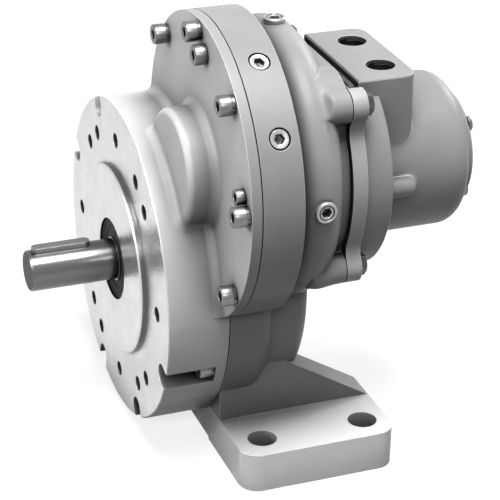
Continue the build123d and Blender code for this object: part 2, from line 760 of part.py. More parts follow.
# Motor housing: round flange, barrel and port block, one casting
with BuildPart() as motor_housing:
    with BuildSketch(face_plane(motor_front)):
        motor_outline()
    extrude(amount=-motor_flange_thickness)
    chamfer(motor_housing.edges().group_by(Axis.Y)[-1], edge_break)
    with BuildSketch(turning_plane(motor_x, barrel_z)):
        rounded_profile(motor_front, barrel_back, barrel_radius, barrel_rounding)
    revolve(axis=barrel_axis)
    with BuildSketch(turning_plane(motor_x, barrel_z)):
        with BuildLine():
            Polyline(
                (flange_back + barrel_fillet, barrel_radius),
                (flange_back + barrel_fillet, 0),
                (motor_front, 0),
                (motor_front, barrel_radius + barrel_fillet),
                (flange_back, barrel_radius + barrel_fillet),
            )
            RadiusArc(
                (flange_back, barrel_radius + barrel_fillet),
                (flange_back + barrel_fillet, barrel_radius),
                -barrel_fillet,
            )
        make_face()
    revolve(axis=barrel_axis)
    # port block with rounded rear corners
    with BuildSketch(Plane.XY.offset(barrel_z)):
        with Locations((motor_x, block_front + block_length / 2)):
            block = Rectangle(block_width, block_length)
        fillet(block.vertices().group_by(Axis.Y)[-1], block_corner)
    extrude(amount=block_top - barrel_z)
    chamfer(motor_housing.edges().group_by(Axis.Z)[-1], edge_break)
    # round-ended nub behind the flange, one on each side
    for side in (-1, 1):
        nub_x = motor_x + side * barrel_radius
        with BuildSketch(turning_plane(nub_x, barrel_z - nub_drop)):
            rounded_profile(motor_front + nub_radius, flange_back + nub_length, nub_radius, nub_radius - 1)
        revolve(axis=Axis((nub_x, 0, barrel_z - nub_drop), (0, 1, 0)))
    # bore for the vane chamber, with an opening at the rear
    with BuildSketch(turning_plane(motor_x, barrel_z)):
        stepped_profile(
            [
                (motor_front, bore_back, liner_radius),
                (bore_back, barrel_back, rear_opening_radius),
            ]
        )
    revolve(axis=barrel_axis, mode=Mode.SUBTRACT)
    # air ports: a tapped mouth, then a narrower passage down to the chamber's liner
    for radius, depth in ((port_radius, port_thread_depth), (passage_radius, port_depth)):
        with BuildSketch(Plane.XY.offset(block_top)):
            with Locations((motor_x, port_y)):
                with GridLocations(port_spacing, 1, 2, 1):
                    Circle(radius)
        extrude(amount=-depth, mode=Mode.SUBTRACT)
    # tapped holes in flange and rear wall
    with BuildSketch(face_plane(motor_front)):
        with Locations(*motor_screw_places):
            Circle(small_screw[0])
    extrude(amount=-blind_screw_reach - 1, mode=Mode.SUBTRACT)
    with BuildSketch(face_plane(barrel_back)):
        with Locations(*cap_screw_places):
            Circle(small_screw[0])
    extrude(amount=barrel_back - bore_back, mode=Mode.SUBTRACT)
write(motor_housing, "motor_housing")

# End cap of the barrel, with its screws
with BuildPart() as end_cap:
    with BuildSketch(turning_plane(motor_x, barrel_z)):
        stepped_profile(
            [
                (bore_back + 1, barrel_back, rear_opening_radius),
                (barrel_back, barrel_back + end_cap_thickness, end_cap_radius),
            ]
        )
    revolve(axis=barrel_axis)
    chamfer(end_cap.faces().sort_by(Axis.Y)[-1].edges(), 1.5)
    with BuildSketch(face_plane(barrel_back)):
        with Locations(*cap_screw_places):
            Circle(small_screw[0])
    extrude(amount=-end_cap_thickness, mode=Mode.SUBTRACT)
write(end_cap, "end_cap")

with BuildPart() as end_cap_screws:
    with BuildSketch(face_plane(barrel_back + end_cap_thickness)):
        with Locations(*cap_screw_places):
            Circle(small_screw[0])
    extrude(amount=end_cap_thickness + barrel_back - bore_back - 0.5)
    with BuildSketch(face_plane(barrel_back + end_cap_thickness)):
        with Locations(*cap_screw_places):
            Circle(small_screw[1])
            RegularPolygon(small_screw[3] / 2, 6, major_radius=False, mode=Mode.SUBTRACT)
    extrude(amount=-small_screw[2] / 2)
write(end_cap_screws, "end_cap_screws")

# Vane chamber: liner with two air slots, and an end plate on each side that holds a rotor bearing
with BuildPart() as cylinder_liner:
    with BuildSketch(face_plane(chamber_front, motor_x, barrel_z)):
        Circle(liner_radius)
        Circle(chamber_radius, mode=Mode.SUBTRACT)
    extrude(amount=-(chamber_back - chamber_front))
    with BuildSketch(Plane.XY.offset(block_top)):
        with Locations((motor_x, port_y)):
            with GridLocations(port_spacing, 1, 2, 1):
                Circle(air_slot_radius)
    extrude(amount=barrel_z - block_top, mode=Mode.SUBTRACT)
write(cylinder_liner, "cylinder_liner")

for name, front, pocket in (
    ("front_end_plate", motor_front, motor_front),
    ("rear_end_plate", chamber_back, bore_back - rotor_bearing[2]),
):
    with BuildPart() as end_plate:
        with BuildSketch(face_plane(front, motor_x, barrel_z)):
            Circle(liner_radius)
        extrude(amount=-end_plate_thickness)
        with BuildSketch(face_plane(front, motor_x, motor_z)):
            Circle(rotor_bearing[0] + 1)
        extrude(amount=-end_plate_thickness, mode=Mode.SUBTRACT)
        with BuildSketch(face_plane(pocket, motor_x, motor_z)):
            Circle(rotor_bearing[1])
        extrude(amount=-rotor_bearing[2], mode=Mode.SUBTRACT)
    write(end_plate, name)

# Rotor with its shaft, slotted for the vanes
with BuildPart() as rotor:
    with BuildSketch(turning_plane(motor_x, motor_z)):
        stepped_profile(
            [
                (planet_front, chamber_front + rotor_gap, rotor_bearing[0]),
                (chamber_front + rotor_gap, chamber_back - rotor_gap, rotor_radius),
                (chamber_back - rotor_gap, bore_back, rotor_bearing[0]),
            ]
        )
    revolve(axis=motor_axis)
    for i in range(vane_count):
        angle = 90 + 360 / vane_count * i
        direction = (cos(radians(angle)), 0, sin(radians(angle)))
        origin = (motor_x, chamber_front + rotor_gap, motor_z)
        with BuildSketch(Plane(origin=origin, x_dir=direction, z_dir=(0, -1, 0))):
            with Locations((rotor_radius - vane_depth / 2, 0)):
                Rectangle(vane_depth + 1, vane_thickness + 2 * running)
        extrude(amount=-rotor_length, mode=Mode.SUBTRACT)
write(rotor, "rotor")

with BuildPart() as vanes:
    for i in range(vane_count):
        angle = 90 + 360 / vane_count * i
        direction = (cos(radians(angle)), 0, sin(radians(angle)))
        origin = (motor_x, chamber_front + rotor_gap, motor_z)
        with BuildSketch(Plane(origin=origin, x_dir=direction, z_dir=(0, -1, 0))):
            with Locations((rotor_radius - vane_depth / 2 - rotor_gap, 0)):
                Rectangle(vane_depth, vane_thickness)
        extrude(amount=-rotor_length)
write(vanes, "vanes")

# Seal on the rotor's shaft, in the adapter plate
with BuildPart() as motor_seal:
    with BuildSketch(face_plane(adapter_front + 1, motor_x, motor_z)):
        Circle(motor_seal_radius)
        Circle(rotor_bearing[0] + running, mode=Mode.SUBTRACT)
    extrude(amount=-motor_seal_width)
write(motor_seal, "motor_seal")

# Sun gear, planet gears, their pins and the ring gear
with BuildPart() as sun_gear:
    with BuildSketch(face_plane(planet_front, motor_x, motor_z)):
        toothed_face(
            sun_teeth,
            planet_module,
            first_planet_angle + 180 / sun_teeth,
            planet_module * (sun_teeth + 2) / 2,
            planet_module * (sun_teeth - 2.5) / 2,
            -backlash / 2,
        )
        Circle(rotor_bearing[0], mode=Mode.SUBTRACT)
    extrude(amount=-planet_width)
write(sun_gear, "sun_gear")

planet_places = circle_places(planet_circle, planet_angles, motor_x, motor_z)
for i, (planet_x, planet_z) in enumerate(planet_places):
    with BuildPart() as planet:
        with BuildSketch(face_plane(planet_front, planet_x, planet_z)):
            toothed_face(
                planet_teeth,
                planet_module,
                planet_angles[i],
                planet_module * (planet_teeth + 2) / 2,
                planet_module * (planet_teeth - 2.5) / 2,
                -backlash / 2,
            )
            Circle(planet_pin_radius + running, mode=Mode.SUBTRACT)
        extrude(amount=-planet_width)
    write(planet, f"planet_gear_{i + 1}")

with BuildPart() as planet_pins:
    with BuildSketch(face_plane(carrier_front)):
        with Locations(*planet_places):
            Circle(planet_pin_radius)
    extrude(amount=carrier_front - carrier_back)
write(planet_pins, "planet_pins")

with BuildPart() as ring_gear:
    with BuildSketch(face_plane(ring_gear_front, motor_x, motor_z)):
        Circle(ring_gear_radius)
        with BuildSketch(mode=Mode.PRIVATE) as opening:
            toothed_face(
                ring_teeth,
                planet_module,
                first_planet_angle,
                planet_module * (ring_teeth + 2.5) / 2,
                planet_module * (ring_teeth - 2) / 2,
                backlash / 2,
            )
        add(opening.sketch, mode=Mode.SUBTRACT)
    extrude(amount=-ring_gear_width)
write(ring_gear, "ring_gear")

# Planet carrier: two discs joined by posts, with a hub for its bearing
with BuildPart() as planet_carrier:
    with BuildSketch(face_plane(carrier_front, motor_x, motor_z)):
        Circle(carrier_radius)
        Circle(spigot_radius, mode=Mode.SUBTRACT)
    extrude(amount=-carrier_disc)
    with BuildSketch(face_plane(carrier_back - carrier_disc, motor_x, motor_z)):
        Circle(carrier_radius)
    extrude(amount=-carrier_disc)
    with BuildSketch(face_plane(carrier_front)):
        with Locations(*circle_places(planet_circle, post_angles, motor_x, motor_z)):
            Circle(carrier_post_radius)
    extrude(amount=carrier_front - carrier_back)
    with BuildSketch(face_plane(carrier_back, motor_x, motor_z)):
        Circle(carrier_bearing[0])
    extrude(amount=carrier_back - hub_bearing - carrier_bearing[2])
    with BuildSketch(face_plane(carrier_back - carrier_disc, motor_x, motor_z)):
        Circle(rotor_bearing[0] + 3)
    extrude(amount=carrier_back - carrier_disc - neck_back, mode=Mode.SUBTRACT)
    with BuildSketch(face_plane(carrier_front)):
        with Locations(*planet_places):
            Circle(planet_pin_radius)
    extrude(amount=carrier_front - carrier_back, mode=Mode.SUBTRACT)
write(planet_carrier, "planet_carrier")

# Pinion shaft, with the pinion cut on it and a spigot that fits the carrier
with BuildPart() as pinion_shaft:
    with BuildSketch(turning_plane(motor_x, motor_z)):
        stepped_profile(
            [
                (boss_bearing, boss_bearing + pinion_bearing[2], pinion_bearing[0]),
                (boss_bearing + pinion_bearing[2], carrier_front, collar_radius),
                (carrier_front, carrier_front + carrier_disc, spigot_radius),
            ]
        )
    revolve(axis=motor_axis)
    with BuildSketch(face_plane(wheel_front, motor_x, motor_z)):
        toothed_face(
            pinion_teeth,
            spur_module,
            case_angle + 180 + 180 / pinion_teeth,
            spur_module * (pinion_teeth + 2) / 2,
            spur_module * (pinion_teeth - 2.5) / 2,
            -backlash / 2,
        )
    extrude(amount=-wheel_width)
write(pinion_shaft, "pinion_shaft")

# Output wheel, keyed to the output shaft
wheel_root = spur_module * (wheel_teeth - 2.5) / 2
with BuildPart() as output_wheel:
    with BuildSketch(face_plane(wheel_front)):
        toothed_face(
            wheel_teeth,
            spur_module,
            case_angle,
            spur_module * (wheel_teeth + 2) / 2,
            wheel_root,
            -backlash / 2,
        )
    extrude(amount=-wheel_width)
    for front in (wheel_front, wheel_back - wheel_web_depth):
        with BuildSketch(face_plane(front)):
            Circle(wheel_root - wheel_rim_wall)
            Circle(wheel_seat_radius + wheel_hub_wall, mode=Mode.SUBTRACT)
        extrude(amount=-wheel_web_depth, mode=Mode.SUBTRACT)
    with BuildSketch(face_plane(wheel_front)):
        Circle(wheel_seat_radius)
        with Locations((0, wheel_seat_radius)):
            Rectangle(wheel_key_width, 2 * (wheel_key_height - wheel_key_seat_depth))
    extrude(amount=-wheel_width, mode=Mode.SUBTRACT)
write(output_wheel, "output_wheel")

# Output shaft with its two key seats
key_mid = shaft_tip + key_setback + key_length / 2
wheel_mid = (wheel_front + wheel_back) / 2
with BuildPart() as output_shaft:
    with BuildSketch(turning_plane()):
        stepped_profile(
            [
                (shaft_tip, seal_front - side_play, shaft_radius),
                (seal_front - side_play, front_bearing + output_bearing[2], output_bearing[0]),
                (front_bearing + output_bearing[2], wheel_front - 5, wheel_seat_radius),
                (wheel_front - 5, wheel_front, wheel_seat_radius + 4),
                (wheel_front, wheel_back, wheel_seat_radius),
                (wheel_back, rear_bearing, output_bearing[0] + 3),
                (rear_bearing, rear_bearing + output_bearing[2], output_bearing[0]),
            ]
        )
    revolve(axis=output_axis)
    chamfer(output_shaft.faces().sort_by(Axis.Y)[0].edges(), shaft_chamfer)
    with BuildSketch(Plane.XY.offset(shaft_radius - key_seat_depth)):
        with Locations((0, key_mid)):
            SlotOverall(key_length, key_width, rotation=90)
    extrude(amount=key_height, mode=Mode.SUBTRACT)
    with BuildSketch(Plane.XY.offset(wheel_seat_radius - wheel_key_seat_depth)):
        with Locations((0, wheel_mid)):
            Rectangle(wheel_key_width, wheel_width)
    extrude(amount=wheel_key_seat_depth, mode=Mode.SUBTRACT)
write(output_shaft, "output_shaft")

with BuildPart() as shaft_key:
    with BuildSketch(Plane.XY.offset(shaft_radius - key_seat_depth)):
        with Locations((0, key_mid)):
            SlotOverall(key_length, key_width, rotation=90)
    extrude(amount=key_height)
write(shaft_key, "shaft_key")

with BuildPart() as wheel_key:
    with BuildSketch(Plane.XY.offset(wheel_seat_radius - wheel_key_seat_depth)):
        with Locations((0, wheel_mid)):
            Rectangle(wheel_key_width, wheel_width)
    extrude(amount=wheel_key_height)
write(wheel_key, "wheel_key")

# Lip seal of the output shaft: a metal-cored rubber ring with a thin lip
with BuildPart() as shaft_seal:
    with BuildSketch(turning_plane()):
        with BuildLine():
            Polyline(
                (seal_front, seal_radius),
                (seal_back, seal_radius),
                (seal_back, seal_radius - seal_wall),
                (seal_front + seal_lip, seal_radius - seal_wall),
                (seal_front + seal_lip, output_bearing[0] + seal_lip),
                (seal_front + 1.5 * seal_lip, output_bearing[0] + running),
                (seal_front + seal_lip, output_bearing[0] + running),
                (seal_front + seal_lip / 4, output_bearing[0] + seal_wall),
                (seal_front + seal_wall / 2, seal_radius - seal_lip),
                close=True,
            )
        make_face()
    revolve(axis=output_axis)
write(shaft_seal, "shaft_seal")

# Ball bearings of the output shaft, the pinion shaft, the carrier and the rotor
ball_bearings("output_bearing", output_bearing, (front_bearing, rear_bearing), 0, 0, 9)
ball_bearings("pinion_bearing", pinion_bearing, (boss_bearing,), motor_x, motor_z, 7)
ball_bearings("carrier_bearing", carrier_bearing, (hub_bearing,), motor_x, motor_z, 12)
rotor_bearing_starts = (motor_front, bore_back - rotor_bearing[2])
ball_bearings("rotor_bearing", rotor_bearing, rotor_bearing_starts, motor_x, motor_z, 8)
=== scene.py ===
import json
from math import atan2, cos, hypot, pi, radians, sin

import bmesh
import bpy
from mathutils import Matrix, Vector


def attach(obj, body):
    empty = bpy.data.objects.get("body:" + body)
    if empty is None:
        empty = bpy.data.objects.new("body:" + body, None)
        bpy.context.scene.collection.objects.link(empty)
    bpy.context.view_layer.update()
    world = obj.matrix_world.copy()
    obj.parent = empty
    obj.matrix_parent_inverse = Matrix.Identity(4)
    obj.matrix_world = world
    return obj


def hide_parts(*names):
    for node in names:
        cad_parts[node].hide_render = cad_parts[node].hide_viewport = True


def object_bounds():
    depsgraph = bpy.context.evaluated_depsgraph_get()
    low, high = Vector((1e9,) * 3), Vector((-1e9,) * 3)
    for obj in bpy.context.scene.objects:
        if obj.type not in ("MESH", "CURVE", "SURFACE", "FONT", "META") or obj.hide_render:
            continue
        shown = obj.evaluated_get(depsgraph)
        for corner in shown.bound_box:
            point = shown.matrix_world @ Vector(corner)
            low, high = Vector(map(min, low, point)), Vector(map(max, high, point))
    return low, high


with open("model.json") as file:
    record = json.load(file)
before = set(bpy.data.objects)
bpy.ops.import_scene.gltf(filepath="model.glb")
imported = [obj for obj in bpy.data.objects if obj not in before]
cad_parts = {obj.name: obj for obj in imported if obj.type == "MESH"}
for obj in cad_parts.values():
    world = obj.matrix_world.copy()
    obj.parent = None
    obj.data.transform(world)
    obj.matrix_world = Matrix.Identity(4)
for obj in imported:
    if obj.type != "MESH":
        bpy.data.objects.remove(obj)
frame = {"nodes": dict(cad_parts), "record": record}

cad_low, cad_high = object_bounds()
nodes = frame["nodes"]
scene = bpy.context.scene
mm = 0.001

# Camera: a long lens looking down on the shaft end from the right, as the product was photographed.
# Its place was worked out from the circles of the flange and the case in the photograph.
view_azimuth, view_elevation, view_roll = radians(69.19), radians(26.39), radians(0.87)
view_target = Vector((13.92, 90.5, -2.24)) * mm
view_distance = 1351.08 * mm
towards_camera = Vector(
    (
        sin(view_azimuth) * cos(view_elevation),
        -cos(view_azimuth) * cos(view_elevation),
        sin(view_elevation),
    )
)
level = Vector((cos(view_azimuth), sin(view_azimuth), 0))
upward = towards_camera.cross(level)
rolled_right = level * cos(view_roll) + upward * sin(view_roll)
rolled_up = upward * cos(view_roll) - level * sin(view_roll)
camera = bpy.data.objects.new("camera", bpy.data.cameras.new("camera"))
camera.data.lens = 141.82
camera.data.sensor_width = 36
camera.data.clip_start = 0.05
camera.data.clip_end = 60
turned_view = Matrix((rolled_right, rolled_up, towards_camera)).transposed().to_4x4()
camera.matrix_world = Matrix.Translation(view_target + towards_camera * view_distance) @ turned_view
scene.collection.objects.link(camera)
scene.camera = camera

# Floor: one wide sheet of white paper under the foot. It looks white to the camera and in reflections
# and throws little light back, so that the undersides stay dark and the soft shadow is kept.
floor_mesh = bpy.data.meshes.new("floor")
sheet = bmesh.new()
bmesh.ops.create_grid(sheet, x_segments=1, y_segments=1, size=20)
bmesh.ops.translate(sheet, verts=sheet.verts, vec=(0, 0, cad_low.z))
sheet.to_mesh(floor_mesh)
sheet.free()
floor = bpy.data.objects.new("floor", floor_mesh)
scene.collection.objects.link(floor)
paper = bpy.data.materials.new("paper")
paper.use_nodes = True
tree = paper.node_tree
surface = tree.nodes["Principled BSDF"]
surface.inputs["Roughness"].default_value = 0.9
surface.inputs["Specular IOR Level"].default_value = 0.1
surface.inputs["Emission Strength"].default_value = 1.0


def seen_rays(tree):
    """One for camera, glossy and transmission rays, nothing for diffuse ones."""
    rays = tree.nodes.new("ShaderNodeLightPath")
    seen = rays.outputs["Is Camera Ray"]
    for other in ("Is Glossy Ray", "Is Transmission Ray"):
        either = tree.nodes.new("ShaderNodeMath")
        either.operation = "MAXIMUM"
        tree.links.new(seen, either.inputs[0])
        tree.links.new(rays.outputs[other], either.inputs[1])
        seen = either.outputs[0]
    return seen


seen = seen_rays(tree)
for socket, unseen, white in (("Base Color", 0.05, 0.22), ("Emission Color", 0.0, 0.78)):
    choice = tree.nodes.new("ShaderNodeMix")
    choice.data_type = "RGBA"
    choice.inputs["A"].default_value = (unseen, unseen, unseen, 1)
    choice.inputs["B"].default_value = (white, white, white, 1)
    tree.links.new(seen, choice.inputs["Factor"])
    tree.links.new(choice.outputs["Result"], surface.inputs[socket])
floor_mesh.materials.append(paper)

# Studio: a surround that is white to the camera and in reflections but lights matt surfaces dimly, a
# little more from overhead. Softboxes stand above, before the shaft end, to the right and behind, and
# a small lamp reaches the foot.
world = bpy.data.worlds.new("surround")
scene.world = world
world.use_nodes = True
tree = world.node_tree
backdrop = tree.nodes["Background"]
heading = tree.nodes.new("ShaderNodeTexCoord")
parts_of = tree.nodes.new("ShaderNodeSeparateXYZ")
tree.links.new(heading.outputs["Generated"], parts_of.inputs["Vector"])
height = tree.nodes.new("ShaderNodeMapRange")
height.inputs["From Min"].default_value = 0.0
height.inputs["From Max"].default_value = 1.0
height.inputs["To Min"].default_value = 0.0
height.inputs["To Max"].default_value = 0.12
tree.links.new(parts_of.outputs["Z"], height.inputs["Value"])
brightest = tree.nodes.new("ShaderNodeMath")
brightest.operation = "MAXIMUM"
tree.links.new(height.outputs["Result"], brightest.inputs[0])
tree.links.new(seen_rays(tree), brightest.inputs[1])
tree.links.new(brightest.outputs[0], backdrop.inputs["Strength"])
backdrop.inputs["Color"].default_value = (1, 1, 1, 1)


def softbox(name, place, aim, width, height, power, spread=180):
    """A rectangular studio light at a place, facing the aim, its beam narrowed to the spread in degrees."""
    lamp = bpy.data.lights.new(name, "AREA")
    lamp.shape = "RECTANGLE"
    lamp.size = width
    lamp.size_y = height
    lamp.energy = power
    lamp.spread = radians(spread)
    lamp_object = bpy.data.objects.new(name, lamp)
    lamp_object.location = place
    lamp_object.rotation_mode = "QUATERNION"
    lamp_object.rotation_quaternion = (Vector(aim) - Vector(place)).to_track_quat("-Z", "Y")
    scene.collection.objects.link(lamp_object)


softbox("overhead_softbox", (0.4, 0.1, 1.3), (0.08, 0.08, 0.0), 0.6, 0.6, 36)
softbox("front_softbox", (-0.2, -1.4, 0.5), (0.0, 0.0, 0.0), 0.5, 0.5, 16)
softbox("side_strip", (1.4, -0.3, 1.0), (0.05, 0.1, 0.0), 0.3, 0.3, 8)
softbox("rear_softbox", (-0.6, 1.4, 0.8), (0.0, 0.1, 0.0), 0.6, 0.6, 16)
softbox("foot_fill", (1.0, -0.55, -0.02), (0.16, 0.07, -0.105), 0.12, 0.03, 0.02, spread=7)
scene.view_settings.view_transform = "Standard"

# Front housing: mounting flange, drum, plate and boss in one aluminium casting, bead blasted. Its
# mounting face and pilot are milled bright afterwards, with faint rings round the shaft. The plate's
# edge is drawn darker than its face only to match the photograph, as painted shade.


def effect_group(name, inputs, outputs):
    """An empty node group with named float inputs, and outputs given as name and socket type."""
    group = bpy.data.node_groups.new(name, "ShaderNodeTree")
    for socket, value in inputs:
        made = group.interface.new_socket(socket, in_out="INPUT", socket_type="NodeSocketFloat")
        made.default_value = value
    for socket, kind in outputs:
        group.interface.new_socket(socket, in_out="OUTPUT", socket_type=kind)
    start = group.nodes.new("NodeGroupInput")
    end = group.nodes.new("NodeGroupOutput")
    return group, start, end


def own_coordinates(tree):
    """The Object output of a texture coordinate node: metres in the row's frame."""
    return tree.nodes.new("ShaderNodeTexCoord").outputs["Object"]


def noise(tree, source, scale, detail):
    """Soft noise over a vector, as a value from 0 to 1."""
    node = tree.nodes.new("ShaderNodeTexNoise")
    node.inputs["Scale"].default_value = scale
    node.inputs["Detail"].default_value = detail
    tree.links.new(source, node.inputs["Vector"])
    return node


def sum_of(tree, operation, first, second):
    """A maths node over two sockets or plain numbers."""
    node = tree.nodes.new("ShaderNodeMath")
    node.operation = operation
    for socket, value in zip(node.inputs, (first, second)):
        if isinstance(value, (int, float)):
            socket.default_value = value
        else:
            tree.links.new(value, socket)
    return node.outputs[0]


def ramp(tree, source, stops):
    """A value put through a straight-line colour ramp given as place and grey or colour."""
    node = tree.nodes.new("ShaderNodeValToRGB")
    while len(node.color_ramp.elements) < len(stops):
        node.color_ramp.elements.new(0.5)
    for element, (at, tone) in zip(node.color_ramp.elements, stops):
        element.position = at
        colour = (tone, tone, tone) if isinstance(tone, (int, float)) else tone
        element.color = (*colour, 1)
    tree.links.new(source, node.inputs["Fac"])
    return node.outputs["Color"]


def blend_of(tree, factor, first, second, kind="MIX"):
    """Two colours mixed by a factor; each may be a socket, a grey or a colour."""
    node = tree.nodes.new("ShaderNodeMix")
    node.data_type = "RGBA"
    node.blend_type = kind
    for name, value in (("Factor", factor), ("A", first), ("B", second)):
        socket = node.inputs[name]
        if isinstance(value, bpy.types.NodeSocket):
            tree.links.new(value, socket)
        elif socket.type == "VALUE":
            socket.default_value = value
        else:
            socket.default_value = (value, value, value, 1)
    return node.outputs["Result"]


# pebbled skin: fine grain in the normal, slow clouds, an edge mask for painted highlights and the occlusion
# for painted shade in hollows
skin, start, end = effect_group(
    "blasted_skin",
    [("Grain", 900.0), ("Depth", 0.3), ("Edge", 0.0008), ("Hollow", 0.03)],
    [
        ("Normal", "NodeSocketVector"),
        ("Speckle", "NodeSocketFloat"),
        ("Cloud", "NodeSocketFloat"),
        ("Highlight", "NodeSocketFloat"),
        ("Open", "NodeSocketFloat"),
    ],
)
place = own_coordinates(skin)
grain = noise(skin, place, 900, 3)
skin.links.new(start.outputs["Grain"], grain.inputs["Scale"])
cloud = noise(skin, place, 26, 4)
rounded = skin.nodes.new("ShaderNodeBevel")
rounded.samples = 8
skin.links.new(start.outputs["Edge"], rounded.inputs["Radius"])
bump = skin.nodes.new("ShaderNodeBump")
bump.inputs["Distance"].default_value = 0.0004
skin.links.new(start.outputs["Depth"], bump.inputs["Strength"])
skin.links.new(grain.outputs["Fac"], bump.inputs["Height"])
skin.links.new(rounded.outputs["Normal"], bump.inputs["Normal"])
facing = skin.nodes.new("ShaderNodeNewGeometry")
turned_away = skin.nodes.new("ShaderNodeVectorMath")
turned_away.operation = "DOT_PRODUCT"
skin.links.new(rounded.outputs["Normal"], turned_away.inputs[0])
skin.links.new(facing.outputs["Normal"], turned_away.inputs[1])
# edge mask for the painted highlight: how far the rounded normal turns from the true one
edge_highlight_mask = sum_of(skin, "SUBTRACT", 1.0, turned_away.outputs["Value"])
hollow = skin.nodes.new("ShaderNodeAmbientOcclusion")
hollow.samples = 8
skin.links.new(start.outputs["Hollow"], hollow.inputs["Distance"])
skin.links.new(bump.outputs["Normal"], end.inputs["Normal"])
skin.links.new(grain.outputs["Fac"], end.inputs["Speckle"])
skin.links.new(cloud.outputs["Fac"], end.inputs["Cloud"])
skin.links.new(edge_highlight_mask, end.inputs["Highlight"])
skin.links.new(hollow.outputs["AO"], end.inputs["Open"])

# tool marks: rings round an axis along Y, with light mottling
marks, start, end = effect_group(
    "turning_marks",
    [("Centre X", 0.0), ("Centre Z", 0.0), ("Pitch", 2500.0)],
    [("Ring", "NodeSocketFloat"), ("Mottle", "NodeSocketFloat")],
)
place = own_coordinates(marks)
split = marks.nodes.new("ShaderNodeSeparateXYZ")
marks.links.new(place, split.inputs["Vector"])
across = sum_of(marks, "SUBTRACT", split.outputs["X"], start.outputs["Centre X"])
rise = sum_of(marks, "SUBTRACT", split.outputs["Z"], start.outputs["Centre Z"])
across_squared = sum_of(marks, "MULTIPLY", across, across)
rise_squared = sum_of(marks, "MULTIPLY", rise, rise)
distance = sum_of(marks, "SQRT", sum_of(marks, "ADD", across_squared, rise_squared), 0.0)
rings = marks.nodes.new("ShaderNodeTexNoise")
rings.noise_dimensions = "1D"
rings.inputs["Detail"].default_value = 4
marks.links.new(sum_of(marks, "MULTIPLY", distance, start.outputs["Pitch"]), rings.inputs["W"])
rings.inputs["Scale"].default_value = 1
mottle = noise(marks, place, 70, 6)
marks.links.new(rings.outputs["Fac"], end.inputs["Ring"])
marks.links.new(mottle.outputs["Fac"], end.inputs["Mottle"])


def add_group(tree, group, **values):
    """Places a group in a material and sets its inputs; underscores in the names stand for spaces."""
    node = tree.nodes.new("ShaderNodeGroup")
    node.node_tree = group
    for socket, value in values.items():
        node.inputs[socket.replace("_", " ")].default_value = value
    return node


def new_material(name, roughness, metallic):
    """A material whose Principled shader has its uniform values set; returns material, tree and shader."""
    material = bpy.data.materials.new(name)
    material.use_nodes = True
    shader = material.node_tree.nodes["Principled BSDF"]
    shader.inputs["Roughness"].default_value = roughness
    shader.inputs["Metallic"].default_value = metallic
    return material, material.node_tree, shader


def dress(node, material):
    """Gives every material slot of a CAD node one material."""
    for slot in nodes[node].material_slots:
        slot.material = material


casting_metallic, casting_edge = 0.05, 0.0009


def casting(name, tone):
    """Blasted aluminium: returns the material, its tree, shader, skin group and colour."""
    material, tree, shader = new_material(name, 0.42, casting_metallic)
    shader.inputs["Specular IOR Level"].default_value = 0.15
    surface = add_group(tree, skin, Grain=900.0, Depth=0.3, Edge=casting_edge, Hollow=0.05)
    colour = ramp(tree, surface.outputs["Cloud"], [(0.3, tone * 0.93), (0.7, tone * 1.07)])
    # painted shade in hollows and corners, then a painted highlight along the edges
    shaded = ramp(tree, surface.outputs["Open"], [(0.3, 0.04), (0.97, 1.0)])
    colour = blend_of(tree, 1.0, colour, shaded, "MULTIPLY")
    colour = blend_of(tree, ramp(tree, surface.outputs["Highlight"], [(0.05, 0.0), (0.3, 0.5)]), colour, 0.85)
    rough = ramp(tree, surface.outputs["Speckle"], [(0.3, 0.38), (0.7, 0.50)])
    tree.links.new(colour, shader.inputs["Base Color"])
    tree.links.new(rough, shader.inputs["Roughness"])
    tree.links.new(surface.outputs["Normal"], shader.inputs["Normal"])
    return material, tree, shader, surface, colour, rough


motor_x, motor_z, rim_radius = 66.861, 92.026, 98.0
plate_front, face_margin = 34.3, 0.3
plate_edge_painted_shade, plate_edge_band = 0.22, 1.2
# painted light: the housing is drawn in a lighter grey than the case, adapter and motor, though all are the
# same aluminium
housing_metal, tree, shader, surface, colour, rough = casting("housing_casting", tone=0.46)
cut = add_group(tree, marks, Pitch=2500.0)
split = tree.nodes.new("ShaderNodeSeparateXYZ")
tree.links.new(own_coordinates(tree), split.inputs["Vector"])
milled = sum_of(tree, "LESS_THAN", split.outputs["Y"], face_margin * mm)
bright = blend_of(
    tree,
    0.5,
    ramp(tree, cut.outputs["Ring"], [(0.3, 0.52), (0.7, 0.64)]),
    ramp(tree, cut.outputs["Mottle"], [(0.35, 0.50), (0.65, 0.66)]),
)
step_shade = ramp(tree, surface.outputs["Open"], [(0.45, 0.08), (0.85, 1.0)])
bright = blend_of(tree, 1.0, bright, step_shade, "MULTIPLY")
level_place = tree.nodes.new("ShaderNodeVectorMath")
level_place.operation = "MULTIPLY"
level_place.inputs[1].default_value = (1, 0, 1)
tree.links.new(own_coordinates(tree), level_place.inputs[0])
from_motor = tree.nodes.new("ShaderNodeVectorMath")
from_motor.operation = "DISTANCE"
from_motor.inputs[1].default_value = (motor_x * mm, 0, motor_z * mm)
tree.links.new(level_place.outputs["Vector"], from_motor.inputs[0])
# painted shade on the plate's cylindrical edge behind its face
plate_side = sum_of(tree, "COMPARE", from_motor.outputs["Value"], rim_radius * mm)
plate_side.node.inputs[2].default_value = plate_edge_band * mm
behind_face = sum_of(tree, "GREATER_THAN", split.outputs["Y"], (plate_front + face_margin) * mm)
plate_side = sum_of(tree, "MULTIPLY", plate_side, behind_face)
colour = blend_of(tree, plate_side, colour, plate_edge_painted_shade)
tree.links.new(blend_of(tree, milled, colour, bright), shader.inputs["Base Color"])
smooth = ramp(tree, cut.outputs["Mottle"], [(0.3, 0.22), (0.7, 0.28)])
tree.links.new(blend_of(tree, milled, rough, smooth), shader.inputs["Roughness"])
tree.links.new(blend_of(tree, milled, casting_metallic, 0.9), shader.inputs["Metallic"])
dress("front_housing", housing_metal)
